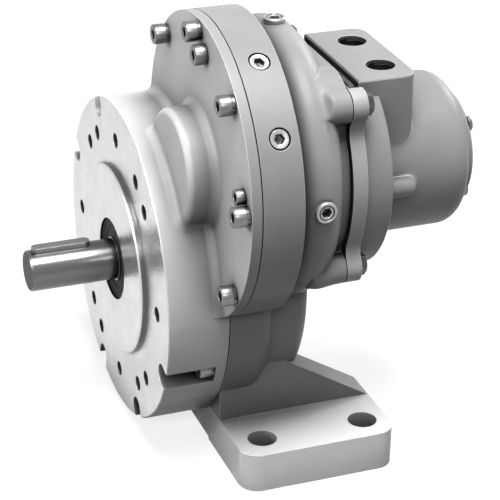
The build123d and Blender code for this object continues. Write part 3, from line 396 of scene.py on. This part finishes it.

# Gear case: rim, shoulder, neck, legs and foot in one aluminium casting. Its skin is crowned at the
# shoulder, hollowed behind the rim and run out from the three free screw columns, where the solid is
# straight and square. The foot's pads are drawn lighter only to match the photograph, as painted light.
rim_rear_face, rim_back, column_front, column_free = 68.3, 71.3, 84.5, 100
shoulder_back, neck_back = 102.5, 107.7
shoulder_radius, shoulder_inner, shoulder_rounding = 89.03, 71.03, 18.0
crown, root_drop, root_length = 1.6, 4.0, 11
root_inner, root_outer, root_fade = 84, 97, 4
column_reach, column_rise, upper_begins, lower_begins = 26, 16, 90, 82
run_out_inner = 82
body_bearing, body_half_angle, body_fade = radians(234), radians(72), radians(14)
bolt_x, bolt_z = 62.4, 54.4
columns = [(motor_x + x, motor_z + z) for x, z in ((bolt_x, bolt_z), (bolt_x, -bolt_z), (-bolt_x, bolt_z))]
sharp_angle, moved_sharp_angle = radians(32), radians(62)
pad_level, pad_painted_light = -84.9, 0.48
# painted shade: the case is drawn in a darker grey than the housing, though of the same aluminium
case_metal, tree, shader, surface, colour, _ = casting("case_casting", tone=0.20)
split = tree.nodes.new("ShaderNodeSeparateXYZ")
tree.links.new(own_coordinates(tree), split.inputs["Vector"])
# painted light: the foot's pads drawn lighter, less so in their hollows
on_pad = sum_of(tree, "LESS_THAN", split.outputs["Z"], pad_level * mm)
on_pad = sum_of(tree, "MULTIPLY", on_pad, surface.outputs["Open"])
tree.links.new(blend_of(tree, on_pad, colour, pad_painted_light), shader.inputs["Base Color"])


def near_column(place):
    """Whether a corner lies on or beside one of the free screw columns."""
    return any(hypot(place.x - x, place.z - z) < column_reach for x, z in columns)


def from_axis(place):
    """Distance from the motor's axis."""
    return hypot(place.x - motor_x, place.z - motor_z)


def cut_across(made, picked, stations):
    """Cuts the picked faces of a mesh at these stations along the shafts, in the mesh's own order."""
    for station in stations:
        faces = [f for f in made.faces if all(picked(v.co) for v in f.verts)]
        around = dict.fromkeys(faces)
        around.update(dict.fromkeys(e for f in faces for e in f.edges))
        around.update(dict.fromkeys(v for f in faces for v in f.verts))
        bmesh.ops.bisect_plane(
            made, geom=list(around), dist=0.001, plane_co=(0, station, 0), plane_no=(0, 1, 0)
        )


def eased(value):
    """A slow start and a slow end between 0 and 1."""
    value = min(1.0, max(0.0, value))
    return value * value * (3 - 2 * value)


def settled_distance(place):
    """Distance from the motor's axis at which the cast skin is drawn, for a corner of the solid."""
    across, up = place.x - motor_x, place.z - motor_z
    distance = hypot(across, up)
    settled = distance
    along = place.y - column_front
    if along > -0.3 and place.y < column_free and near_column(place):
        rounded_off = shoulder_inner + (shoulder_rounding**2 - max(0.0, along) ** 2) ** 0.5
        begins = upper_begins if up > 0 else lower_begins
        rise = column_rise * eased((place.y - begins) / (column_free - begins))
        settled = min(distance, rounded_off + rise)
    if place.y > rim_back:
        share = min(1.0, (settled - shoulder_inner) / (shoulder_radius - shoulder_inner))
        settled += crown * share * sin(pi * (place.y - rim_back) / (shoulder_back - rim_back))
    facing = (atan2(up, across) - body_bearing) % (2 * pi)
    away = eased((min(facing, 2 * pi - facing) - body_half_angle) / body_fade)
    root = eased((distance - root_inner) / root_fade) * eased((root_outer - distance) / root_fade)
    fading = max(0.0, 1 - max(0.0, place.y - rim_back) / root_length) ** 2
    return settled - root_drop * away * root * fading


# a merged copy in millimetres that keeps the solid's normals wherever it isn't moved
solid_case = nodes["gear_case"].data
cast = bmesh.new()
cast.from_mesh(solid_case)
kept_normal = cast.loops.layers.float_vector.new("kept_normal")
for face in cast.faces:
    for loop, number in zip(face.loops, solid_case.polygons[face.index].loop_indices):
        loop[kept_normal] = solid_case.corner_normals[number].vector
bmesh.ops.remove_doubles(cast, verts=cast.verts, dist=1e-6)
bmesh.ops.scale(cast, vec=(1 / mm, 1 / mm, 1 / mm), verts=cast.verts)
cut_across(
    cast,
    lambda at: rim_back - 0.1 < at.y < column_front + 0.1 and from_axis(at) > shoulder_radius - 0.6,
    range(72, 84),
)
cut_across(
    cast,
    lambda at: column_front - 0.2 < at.y < neck_back + 0.1
    and near_column(at)
    and from_axis(at) > shoulder_inner,
    (86, 88, 90, 92, 93.5, 95, 96, 97, 98, 99, 100),
)
moved = set()
for corner in cast.verts:
    distance = from_axis(corner.co)
    if shoulder_inner < distance < rim_radius - 0.5 and rim_rear_face - 0.1 < corner.co.y < shoulder_back:
        settled = settled_distance(corner.co)
        if abs(settled - distance) > 1e-4:
            corner.co.x = motor_x + (corner.co.x - motor_x) * settled / distance
            corner.co.z = motor_z + (corner.co.z - motor_z) * settled / distance
            moved.add(corner)
run_out = [
    v
    for v in cast.verts
    if v in moved
    and near_column(v.co)
    and column_front + 0.5 < v.co.y < column_free - 1
    and from_axis(v.co) > run_out_inner
]
for _ in range(4):
    bmesh.ops.smooth_vert(
        cast, verts=run_out, factor=0.5, use_axis_x=True, use_axis_y=False, use_axis_z=True
    )
for face in cast.faces:
    face.smooth = True
    if any(corner in moved for corner in face.verts):
        for loop in face.loops:
            loop[kept_normal] = (0, 0, 0)
for edge in cast.edges:
    limit = moved_sharp_angle if all(corner in moved for corner in edge.verts) else sharp_angle
    edge.smooth = len(edge.link_faces) == 2 and edge.calc_face_angle(0) < limit
bmesh.ops.dissolve_degenerate(cast, dist=0.0005, edges=cast.edges)
bmesh.ops.scale(cast, vec=(mm, mm, mm), verts=cast.verts)
case_mesh = bpy.data.meshes.new("gear_case_cast")
cast.to_mesh(case_mesh)
cast.free()
corner_normals = [tuple(v.vector) for v in case_mesh.attributes["kept_normal"].data]
case_mesh.normals_split_custom_set(corner_normals)
case_mesh.attributes.remove(case_mesh.attributes["kept_normal"])
case_mesh.materials.append(case_metal)
case_piece = bpy.data.objects.new("gear_case_cast", case_mesh)
scene.collection.objects.link(case_piece)
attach(case_piece, "housing")
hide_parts("gear_case")

# Adapter plate: a flat aluminium casting with four bolt lobes between neck and motor, drawn a little
# lighter than the case as painted light. The hexagon head screws clamp it to the neck.
dress("adapter_plate", casting("adapter_casting", tone=0.27)[0])

# Motor housing: flange, barrel and port block in one casting, with a turned end cap behind the barrel.
# Block and barrel run into each other in a wide blend, drawn by the skin's edge radius alone. The front
# of the flange is drawn dark only to match the photograph, as painted shade.
side_joint_z, side_joint_reach, side_joint_front = 106.5, 20, 140.5
rear_joint_y, rear_joint_reach, rear_joint_top = 164, 16, 144
joint_radius = 0.008
flange_line, flange_painted_shade = 120.4, 0.006
# painted shade: the motor housing is drawn in a darker grey than the front housing, though of the same
# aluminium
motor_metal, tree, shader, surface, colour, _ = casting("motor_casting", tone=0.20)
split = tree.nodes.new("ShaderNodeSeparateXYZ")
tree.links.new(own_coordinates(tree), split.inputs["Vector"])


def band(tree, value, middle, half_width):
    """One at the middle of a band of a value, falling to nothing at its sides."""
    away = sum_of(tree, "ABSOLUTE", sum_of(tree, "SUBTRACT", value, middle), 0.0)
    left = sum_of(tree, "SUBTRACT", 1.0, sum_of(tree, "DIVIDE", away, half_width))
    return sum_of(tree, "MAXIMUM", left, 0.0)


at_side = band(tree, split.outputs["Z"], side_joint_z * mm, side_joint_reach * mm)
behind_front = sum_of(tree, "GREATER_THAN", split.outputs["Y"], side_joint_front * mm)
at_side = sum_of(tree, "MULTIPLY", at_side, behind_front)
at_rear = band(tree, split.outputs["Y"], rear_joint_y * mm, rear_joint_reach * mm)
below_top = sum_of(tree, "LESS_THAN", split.outputs["Z"], rear_joint_top * mm)
at_rear = sum_of(tree, "MULTIPLY", at_rear, below_top)
joint = sum_of(tree, "MAXIMUM", at_side, at_rear)
# the wider edge radius at the joints also widens the painted edge highlight there
blend_radius = sum_of(tree, "ADD", sum_of(tree, "MULTIPLY", joint, joint_radius), casting_edge)
tree.links.new(blend_radius, surface.inputs["Edge"])
# painted shade: the flange's front band drawn near black
dark_front = sum_of(tree, "LESS_THAN", split.outputs["Y"], flange_line * mm)
tree.links.new(blend_of(tree, dark_front, colour, flange_painted_shade), shader.inputs["Base Color"])
dress("motor_housing", motor_metal)
dress("end_cap", casting("end_cap_metal", tone=0.22)[0])

# Gaskets: three sheets of black fibre, each cut to the outline of its joint. The castings clamp them, so
# that only their dull edges are seen.
sealing_sheet, tree, shader = new_material("sealing_sheet", 0.75, 0.0)
shader.inputs["Specular IOR Level"].default_value = 0.1
surface = add_group(tree, skin, Grain=1500.0, Depth=0.2, Edge=0.0001, Hollow=0.01)
fibre = ramp(tree, surface.outputs["Speckle"], [(0.3, 0.004), (0.7, 0.012)])
tree.links.new(fibre, shader.inputs["Base Color"])
tree.links.new(surface.outputs["Normal"], shader.inputs["Normal"])
for name in ("case_gasket", "neck_gasket", "motor_gasket"):
    dress(name, sealing_sheet)

# Cap screws of the front housing: socket heads on the plate and in the drum's channels, plated steel,
# turned with a chamfered head and a broached hexagon that ends in a drill point.
washer_seat = 2.0
head_seat = plate_front - washer_seat


def turned(outline, steps=48, closed=False):
    """A mesh turned about local Z from (radius, height) points in millimetres."""
    made = bmesh.new()
    corners = [made.verts.new((radius, 0, height)) for radius, height in outline]
    pairs = list(zip(corners, corners[1:]))
    if closed:
        pairs.append((corners[-1], corners[0]))
    edges = [made.edges.new(pair) for pair in pairs]
    bmesh.ops.spin(
        made,
        geom=corners + edges,
        cent=(0, 0, 0),
        axis=(0, 0, 1),
        angle=2 * pi,
        steps=steps,
        use_merge=True,
    )
    bmesh.ops.remove_doubles(made, verts=made.verts, dist=0.001)
    bmesh.ops.recalc_face_normals(made, faces=made.faces)
    return made


def hexagon(made, ring, flats):
    """Draws the turned circle at this radius to a hexagon of this width across flats."""
    for corner in made.verts:
        if abs(hypot(corner.co.x, corner.co.y) - ring) < 0.01:
            around = atan2(corner.co.y, corner.co.x) % (pi / 3) - pi / 6
            corner.co.xy *= flats / 2 / cos(around) / ring


def seat(x, y, z, outward):
    """Matrix that stands a mesh made in millimetres on a point, its local Z pointing outwards."""
    turn = Vector(outward).to_track_quat("Z", "Y").to_matrix().to_4x4()
    return Matrix.Translation(Vector((x, y, z)) * mm) @ turn @ Matrix.Scale(mm, 4)


def on_circle(radius, angles, x=0.0, z=0.0):
    """Places on a circle across the shafts, as X and Z in millimetres."""
    return [(x + radius * cos(radians(a)), z + radius * sin(radians(a))) for a in angles]


def fit(name, made, seats, material, body="housing", replaced=()):
    """One finished piece from a mesh repeated at its seats, riding on a body."""
    mesh = bpy.data.meshes.new(name)
    together = bmesh.new()
    one = bpy.data.meshes.new(name + "_one")
    for matrix in seats:
        made.to_mesh(one)
        one.transform(matrix)
        together.from_mesh(one)
    for face in together.faces:
        face.smooth = True
    together.to_mesh(mesh)
    together.free()
    made.free()
    bpy.data.meshes.remove(one)
    mesh.set_sharp_from_angle(angle=sharp_angle)
    mesh.materials.append(material)
    piece = bpy.data.objects.new(name, mesh)
    scene.collection.objects.link(piece)
    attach(piece, body)
    if replaced:
        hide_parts(*replaced)
    return piece


def socket_screw(thread, head, height, flats, reach):
    """A socket head screw with its underside at local height 0."""
    ring = flats / 2 / cos(pi / 6)
    made = turned(
        [
            (0, -reach),
            (thread - 1, -reach),
            (thread, -reach + 1),
            (thread, 0),
            (head - 0.5, 0),
            (head, 0.4),
            (head, height - 0.7),
            (head - 0.25, height - 0.25),
            (head - 0.8, height),
            (ring + 0.45, height),
            (ring, height - 0.45),
            (ring, height * 0.45),
            (0, height * 0.45 - 1.2),
        ]
    )
    hexagon(made, ring, flats)
    return made


plated, tree, shader = new_material("plated_steel", 0.3, 0.85)
surface = add_group(tree, skin, Grain=2600.0, Depth=0.06, Edge=0.0003, Hollow=0.006)
colour = ramp(tree, surface.outputs["Cloud"], [(0.3, 0.14), (0.7, 0.20)])
shaded = ramp(tree, surface.outputs["Open"], [(0.35, 0.02), (0.9, 1.0)])
colour = blend_of(tree, 1.0, colour, shaded, "MULTIPLY")
# painted highlight along the edges of the screws
colour = blend_of(tree, ramp(tree, surface.outputs["Highlight"], [(0.03, 0.0), (0.2, 0.6)]), colour, 0.6)
tree.links.new(colour, shader.inputs["Base Color"])
rough = ramp(tree, surface.outputs["Speckle"], [(0.3, 0.26), (0.7, 0.38)])
tree.links.new(rough, shader.inputs["Roughness"])
tree.links.new(surface.outputs["Normal"], shader.inputs["Normal"])

plate_screw_circle, channel_circle = 90.5, 103
plate_screw_places = on_circle(plate_screw_circle, [-40 + 43 * i for i in range(5)], motor_x, motor_z)
channel_places = on_circle(channel_circle, (-112.5, -67.5, -22.5, 112.5, 157.5))
cap_head = {"thread": 4.0, "head": 6.5, "height": 8.0, "flats": 6.0}
for name, places in (("plate_screws", plate_screw_places), ("channel_screws", channel_places)):
    screws = [seat(x, head_seat, z, (0, -1, 0)) for x, z in places]
    screw = socket_screw(**cap_head, reach=24.4)
    fit(name + "_turned", screw, screws, plated, replaced=(name,))

# Spring washers under the cap screws: square steel wire wound to one turn, with its ends a little
# apart. Each lies on the plate under the head of its screw.


def split_ring(inner, outer, thickness, gap):
    """A split ring lying on local height 0, its wire spun round from one end to the other."""
    made = bmesh.new()
    bmesh.ops.create_grid(made, x_segments=1, y_segments=1, size=0.5)
    bmesh.ops.scale(made, vec=(outer - inner, thickness, 1), verts=made.verts)
    bmesh.ops.rotate(made, cent=(0, 0, 0), matrix=Matrix.Rotation(pi / 2, 3, "X"), verts=made.verts)
    bmesh.ops.translate(made, vec=((inner + outer) / 2, 0, thickness / 2), verts=made.verts)
    opening = gap / outer
    start_turn = Matrix.Rotation(opening / 2, 3, "Z")
    bmesh.ops.rotate(made, cent=(0, 0, 0), matrix=start_turn, verts=made.verts)
    bmesh.ops.spin(
        made,
        geom=made.verts[:] + made.edges[:] + made.faces[:],
        cent=(0, 0, 0),
        axis=(0, 0, 1),
        angle=2 * pi - opening,
        steps=40,
        use_merge=False,
    )
    bmesh.ops.recalc_face_normals(made, faces=made.faces)
    return made


for name, places in (("plate_washers", plate_screw_places), ("channel_washers", channel_places)):
    washers = [seat(x, plate_front, z, (0, -1, 0)) for x, z in places]
    washer = split_ring(inner=4.2, outer=6.2, thickness=1.96, gap=1.2)
    fit(name + "_split", washer, washers, plated, replaced=(name,))

# Locking screw beside one of the cap screws, and the vent plug near the top of the plate. Both are
# plated steel with a socket head, screwed into the plate without a washer.
lock_x, lock_z = on_circle(84.5, [9.8], motor_x, motor_z)[0]
lock = [seat(lock_x, plate_front, lock_z, (0, -1, 0))]
lock_screw = socket_screw(thread=3.0, head=5.0, height=6.0, flats=5.0, reach=6.6)
fit("locking_screw_turned", lock_screw, lock, plated, replaced=("locking_screw",))
vent_x, vent_z = on_circle(80.0, [81.0], motor_x, motor_z)[0]
vent = [seat(vent_x, plate_front, vent_z, (0, -1, 0))]
vent_screw = socket_screw(**cap_head, reach=6.6)
fit("vent_plug_turned", vent_screw, vent, plated, replaced=("vent_plug",))

# Socket plugs: two sit flush in the rim in slightly larger tapped seats, two stand proud of the
# shoulder and have a turned groove round the socket.
plug_flats = 6.0
plug_ring = plug_flats / 2 / cos(pi / 6)
flush_outline = [
    (0, -8.4),
    (5.9, -8.4),
    (6.2, -8.0),
    (6.2, -0.5),
    (5.8, 0),
    (plug_ring + 0.6, 0),
    (plug_ring, -0.5),
    (plug_ring, -4.3),
    (0, -5.4),
]
proud_outline = [
    (0, -13.4),
    (6.6, -13.4),
    (6.95, -13.0),
    (6.95, -0.7),
    (6.3, 0),
    (5.2, 0),
    (4.8, -0.9),
    (4.3, -0.9),
    (4.1, -0.3),
    (plug_ring + 0.4, -0.3),
    (plug_ring, -0.7),
    (plug_ring, -6.5),
    (0, -7.4),
]


def radial_seats(distance, angles, y):
    """Seats that face outwards round the motor's axis."""
    return [
        seat(motor_x + distance * cos(radians(a)), y, motor_z + distance * sin(radians(a)),
             (cos(radians(a)), 0, sin(radians(a))))
        for a in angles
    ]


plug_metal, tree, shader = new_material("plug_steel", 0.3, 0.7)
surface = add_group(tree, skin, Grain=2600.0, Depth=0.06, Edge=0.0003, Hollow=0.005)
colour = ramp(tree, surface.outputs["Cloud"], [(0.3, 0.30), (0.7, 0.38)])
shaded = ramp(tree, surface.outputs["Open"], [(0.4, 0.01), (0.9, 1.0)])
tree.links.new(blend_of(tree, 1.0, colour, shaded, "MULTIPLY"), shader.inputs["Base Color"])
rough = ramp(tree, surface.outputs["Speckle"], [(0.3, 0.3), (0.7, 0.42)])
tree.links.new(rough, shader.inputs["Roughness"])
tree.links.new(surface.outputs["Normal"], shader.inputs["Normal"])
for name, outline, seats in (
    ("rim_plugs", flush_outline, radial_seats(97.6, (30, 60), 56.0)),
    ("shoulder_plugs", proud_outline, radial_seats(93.5, (0, 90), 84.2)),
):
    plugs = turned(outline)
    hexagon(plugs, plug_ring, plug_flats)
    fit(name + "_turned", plugs, seats, plug_metal, replaced=(name,))

# Hexagon head screws of the adapter plate: blackened steel, the top of the head turned off at the
# corners. They pass through the plate's four lobes into the columns of the neck.
hex_flats, adapter_back = 13.0, 118.3
hex_ring = hex_flats / 2 / cos(pi / 6)
hex_head = turned(
    [(0, -25.5), (3.2, -25.5), (4.0, -24.6), (4.0, 0), (hex_ring, 0), (hex_ring, 4.7), (6.1, 5.5), (0, 5.5)]
)
hexagon(hex_head, hex_ring, hex_flats)
blackened, tree, shader = new_material("blackened_steel", 0.4, 0.5)
surface = add_group(tree, skin, Grain=2000.0, Depth=0.1, Edge=0.0004, Hollow=0.006)
colour = ramp(tree, surface.outputs["Speckle"], [(0.3, 0.03), (0.7, 0.055)])
# painted highlight along the edges of the heads
colour = blend_of(tree, ramp(tree, surface.outputs["Highlight"], [(0.03, 0.0), (0.2, 0.6)]), colour, 0.4)
tree.links.new(colour, shader.inputs["Base Color"])
tree.links.new(surface.outputs["Normal"], shader.inputs["Normal"])
lobes = [(motor_x + x, motor_z + z) for x in (-bolt_x, bolt_x) for z in (-bolt_z, bolt_z)]
hex_seats = [seat(x, adapter_back, z, (0, 1, 0)) for x, z in lobes]
fit("adapter_screws_hexagon", hex_head, hex_seats, blackened, replaced=("adapter_screws",))

# Screws of the end cap: four low socket heads in plated steel. They pass through the cap into the rear
# of the barrel.
barrel_z, cap_rear = 82.526, 210.0
cap_places = on_circle(32.5, (45, 135, 225, 315), motor_x, barrel_z)
cap_seats = [seat(x, cap_rear, z, (0, 1, 0)) for x, z in cap_places]
cap_screw = socket_screw(thread=3.0, head=5.0, height=3.0, flats=4.0, reach=11.8)
fit("end_cap_screws_turned", cap_screw, cap_seats, plated, replaced=("end_cap_screws",))

# Output shaft: ground steel with fine marks round it and a dull sawn end, drawn near black as painted
# shade. Its key has rounded ends and lies in a milled seat. It keeps the solid's form and gets the
# screws' finish in the last section.
sawn_end = -62.5
ground, tree, shader = new_material("ground_steel", 0.2, 1.0)
surface = add_group(tree, skin, Grain=2500.0, Depth=0.03, Edge=0.0003, Hollow=0.01)
split = tree.nodes.new("ShaderNodeSeparateXYZ")
tree.links.new(own_coordinates(tree), split.inputs["Vector"])
lines = tree.nodes.new("ShaderNodeTexNoise")
lines.noise_dimensions = "1D"
lines.inputs["Scale"].default_value = 3000
tree.links.new(split.outputs["Y"], lines.inputs["W"])
colour = ramp(tree, lines.outputs["Fac"], [(0.3, 0.12), (0.7, 0.15)])
shaded = ramp(tree, surface.outputs["Open"], [(0.3, 0.3), (0.9, 1.0)])
colour = blend_of(tree, 1.0, colour, shaded, "MULTIPLY")
# the end face is rougher, and drawn near black as painted shade
sawn_dull_and_shaded = sum_of(tree, "LESS_THAN", split.outputs["Y"], sawn_end * mm)
tree.links.new(blend_of(tree, sawn_dull_and_shaded, colour, 0.05), shader.inputs["Base Color"])
rough = ramp(tree, lines.outputs["Fac"], [(0.3, 0.22), (0.7, 0.27)])
tree.links.new(blend_of(tree, sawn_dull_and_shaded, rough, 0.6), shader.inputs["Roughness"])
tree.links.new(surface.outputs["Normal"], shader.inputs["Normal"])
dress("output_shaft", ground)

# Shaft seal: a rubber-covered ring pressed into the housing, moulded with a dust lip in front of the
# lip that runs on the shaft. The seal on the rotor's shaft, in the adapter plate, is of the same rubber.
seal = turned(
    [
        (28.0, 2.1),
        (27.6, 2.5),
        (25.6, 2.5),
        (25.0, 1.9),
        (22.6, 1.5),
        (22.2, 2.0),
        (21.3, 2.0),
        (20.9, 1.4),
        (18.6, 0.9),
        (17.2, 1.7),
        (15.5, 2.2),
        (15.1, 1.9),
        (15.4, 0.8),
        (17.6, -0.4),
        (16.6, -2.4),
        (15.1, -3.2),
        (16.4, -4.4),
        (19.0, -4.0),
        (19.4, -1.4),
        (24.6, -1.4),
        (25.0, -7.5),
        (27.6, -7.5),
        (28.0, -7.1),
    ],
    steps=96,
    closed=True,
)
rubber, tree, shader = new_material("seal_rubber", 0.6, 0.0)
shader.inputs["Specular IOR Level"].default_value = 0.15
surface = add_group(tree, skin, Grain=1500.0, Depth=0.1, Edge=0.0002, Hollow=0.01)
black = ramp(tree, surface.outputs["Speckle"], [(0.3, 0.008), (0.7, 0.016)])
tree.links.new(black, shader.inputs["Base Color"])
tree.links.new(surface.outputs["Normal"], shader.inputs["Normal"])
fit("shaft_seal_moulded", seal, [seat(0, 0, 0, (0, -1, 0))], rubber, replaced=("shaft_seal",))
dress("motor_seal", rubber)

# Threads: the ridges that the taps left in the two air ports and in the twelve holes of the mounting
# face. They are cut into the castings themselves.


def thread_ridge(radius, pitch, turns, steps):
    """A helical ridge on the wall of a hole, wound inwards from its mouth at local height 0."""
    made = bmesh.new()
    bmesh.ops.create_circle(made, cap_ends=True, segments=3, radius=pitch * 0.5)
    bmesh.ops.rotate(made, cent=(0, 0, 0), matrix=Matrix.Rotation(pi / 2, 3, "X"), verts=made.verts)
    bmesh.ops.rotate(made, cent=(0, 0, 0), matrix=Matrix.Rotation(pi, 3, "Y"), verts=made.verts)
    bmesh.ops.translate(made, vec=(radius - pitch * 0.1, 0, -pitch), verts=made.verts)
    bmesh.ops.spin(
        made,
        geom=made.verts[:] + made.edges[:] + made.faces[:],
        cent=(0, 0, 0),
        axis=(0, 0, 1),
        dvec=(0, 0, -pitch / steps),
        angle=2 * pi * turns,
        steps=steps * turns,
        use_merge=False,
    )
    bmesh.ops.recalc_face_normals(made, faces=made.faces)
    return made


tapped, tree, shader = new_material("tapped_aluminium", 0.35, 0.8)
surface = add_group(tree, skin, Grain=2000.0, Depth=0.1, Edge=0.0001, Hollow=0.006)
# painted shade: the threads are drawn dark for the shade inside their holes, and darker still in their
# hollows
shaded = ramp(tree, surface.outputs["Open"], [(0.3, 0.02), (0.95, 1.0)])
colour = ramp(tree, surface.outputs["Speckle"], [(0.3, 0.10), (0.7, 0.16)])
tree.links.new(blend_of(tree, 1.0, colour, shaded, "MULTIPLY"), shader.inputs["Base Color"])
tree.links.new(surface.outputs["Normal"], shader.inputs["Normal"])
port_offset, port_y, block_top, hole_circle = 22.7, 147.3, 154.026, 86
port_seats = [seat(motor_x + side * port_offset, port_y, block_top, (0, 0, 1)) for side in (-1, 1)]
port_thread = thread_ridge(radius=9.5, pitch=1.8, turns=10, steps=40)
fit("port_threads", port_thread, port_seats, tapped)
hole_angles = [45 * i for i in range(8)] + [60, 120, 240, 300]
hole_seats = [seat(x, 0, z, (0, -1, 0)) for x, z in on_circle(hole_circle, hole_angles)]
hole_thread = thread_ridge(radius=5.1, pitch=1.75, turns=8, steps=24)
fit("flange_threads", hole_thread, hole_seats, tapped)

# Gear train, carrier and bearings: hobbed and ground steel, bright and lightly oiled. The castings
# close all of it in, and the bearings sit in their bores.
gear_metal, tree, shader = new_material("gear_steel", 0.25, 1.0)
surface = add_group(tree, skin, Grain=2500.0, Depth=0.04, Edge=0.0003, Hollow=0.008)
colour = ramp(tree, surface.outputs["Cloud"], [(0.3, 0.38), (0.7, 0.46)])
tree.links.new(colour, shader.inputs["Base Color"])
tree.links.new(surface.outputs["Normal"], shader.inputs["Normal"])
race_metal, tree, shader = new_material("bearing_steel", 0.12, 1.0)
surface = add_group(tree, skin, Grain=3000.0, Depth=0.01, Edge=0.0002, Hollow=0.008)
colour = ramp(tree, surface.outputs["Cloud"], [(0.3, 0.62), (0.7, 0.70)])
tree.links.new(colour, shader.inputs["Base Color"])
tree.links.new(surface.outputs["Normal"], shader.inputs["Normal"])

# Vane chamber: liner, end plates and rotor in fine grey iron, vanes of brown laminated cloth. The liner
# sits in the barrel's bore, and the vanes slide in the rotor's slots. Inner pieces, both keys and the
# hidden screws get their finish here by their slot.
iron, tree, shader = new_material("grey_iron", 0.4, 0.9)
surface = add_group(tree, skin, Grain=1600.0, Depth=0.1, Edge=0.0003, Hollow=0.008)
grey = ramp(tree, surface.outputs["Speckle"], [(0.3, 0.22), (0.7, 0.32)])
tree.links.new(grey, shader.inputs["Base Color"])
tree.links.new(surface.outputs["Normal"], shader.inputs["Normal"])
laminate, tree, shader = new_material("vane_laminate", 0.6, 0.0)
surface = add_group(tree, skin, Grain=1200.0, Depth=0.2, Edge=0.0002, Hollow=0.008)
layers = ramp(tree, surface.outputs["Speckle"], [(0.3, (0.16, 0.09, 0.04)), (0.7, (0.24, 0.14, 0.07))])
tree.links.new(layers, shader.inputs["Base Color"])
tree.links.new(surface.outputs["Normal"], shader.inputs["Normal"])
inner_finish = {
    "gear_steel": gear_metal,
    "bearing_steel": race_metal,
    "liner_iron": iron,
    "rotor_iron": iron,
    "vane_laminate": laminate,
    "screw_steel": plated,
}
for entry in frame["record"]["subparts"]:
    if entry["material_slot"] in inner_finish:
        dress(entry["node"], inner_finish[entry["material_slot"]])
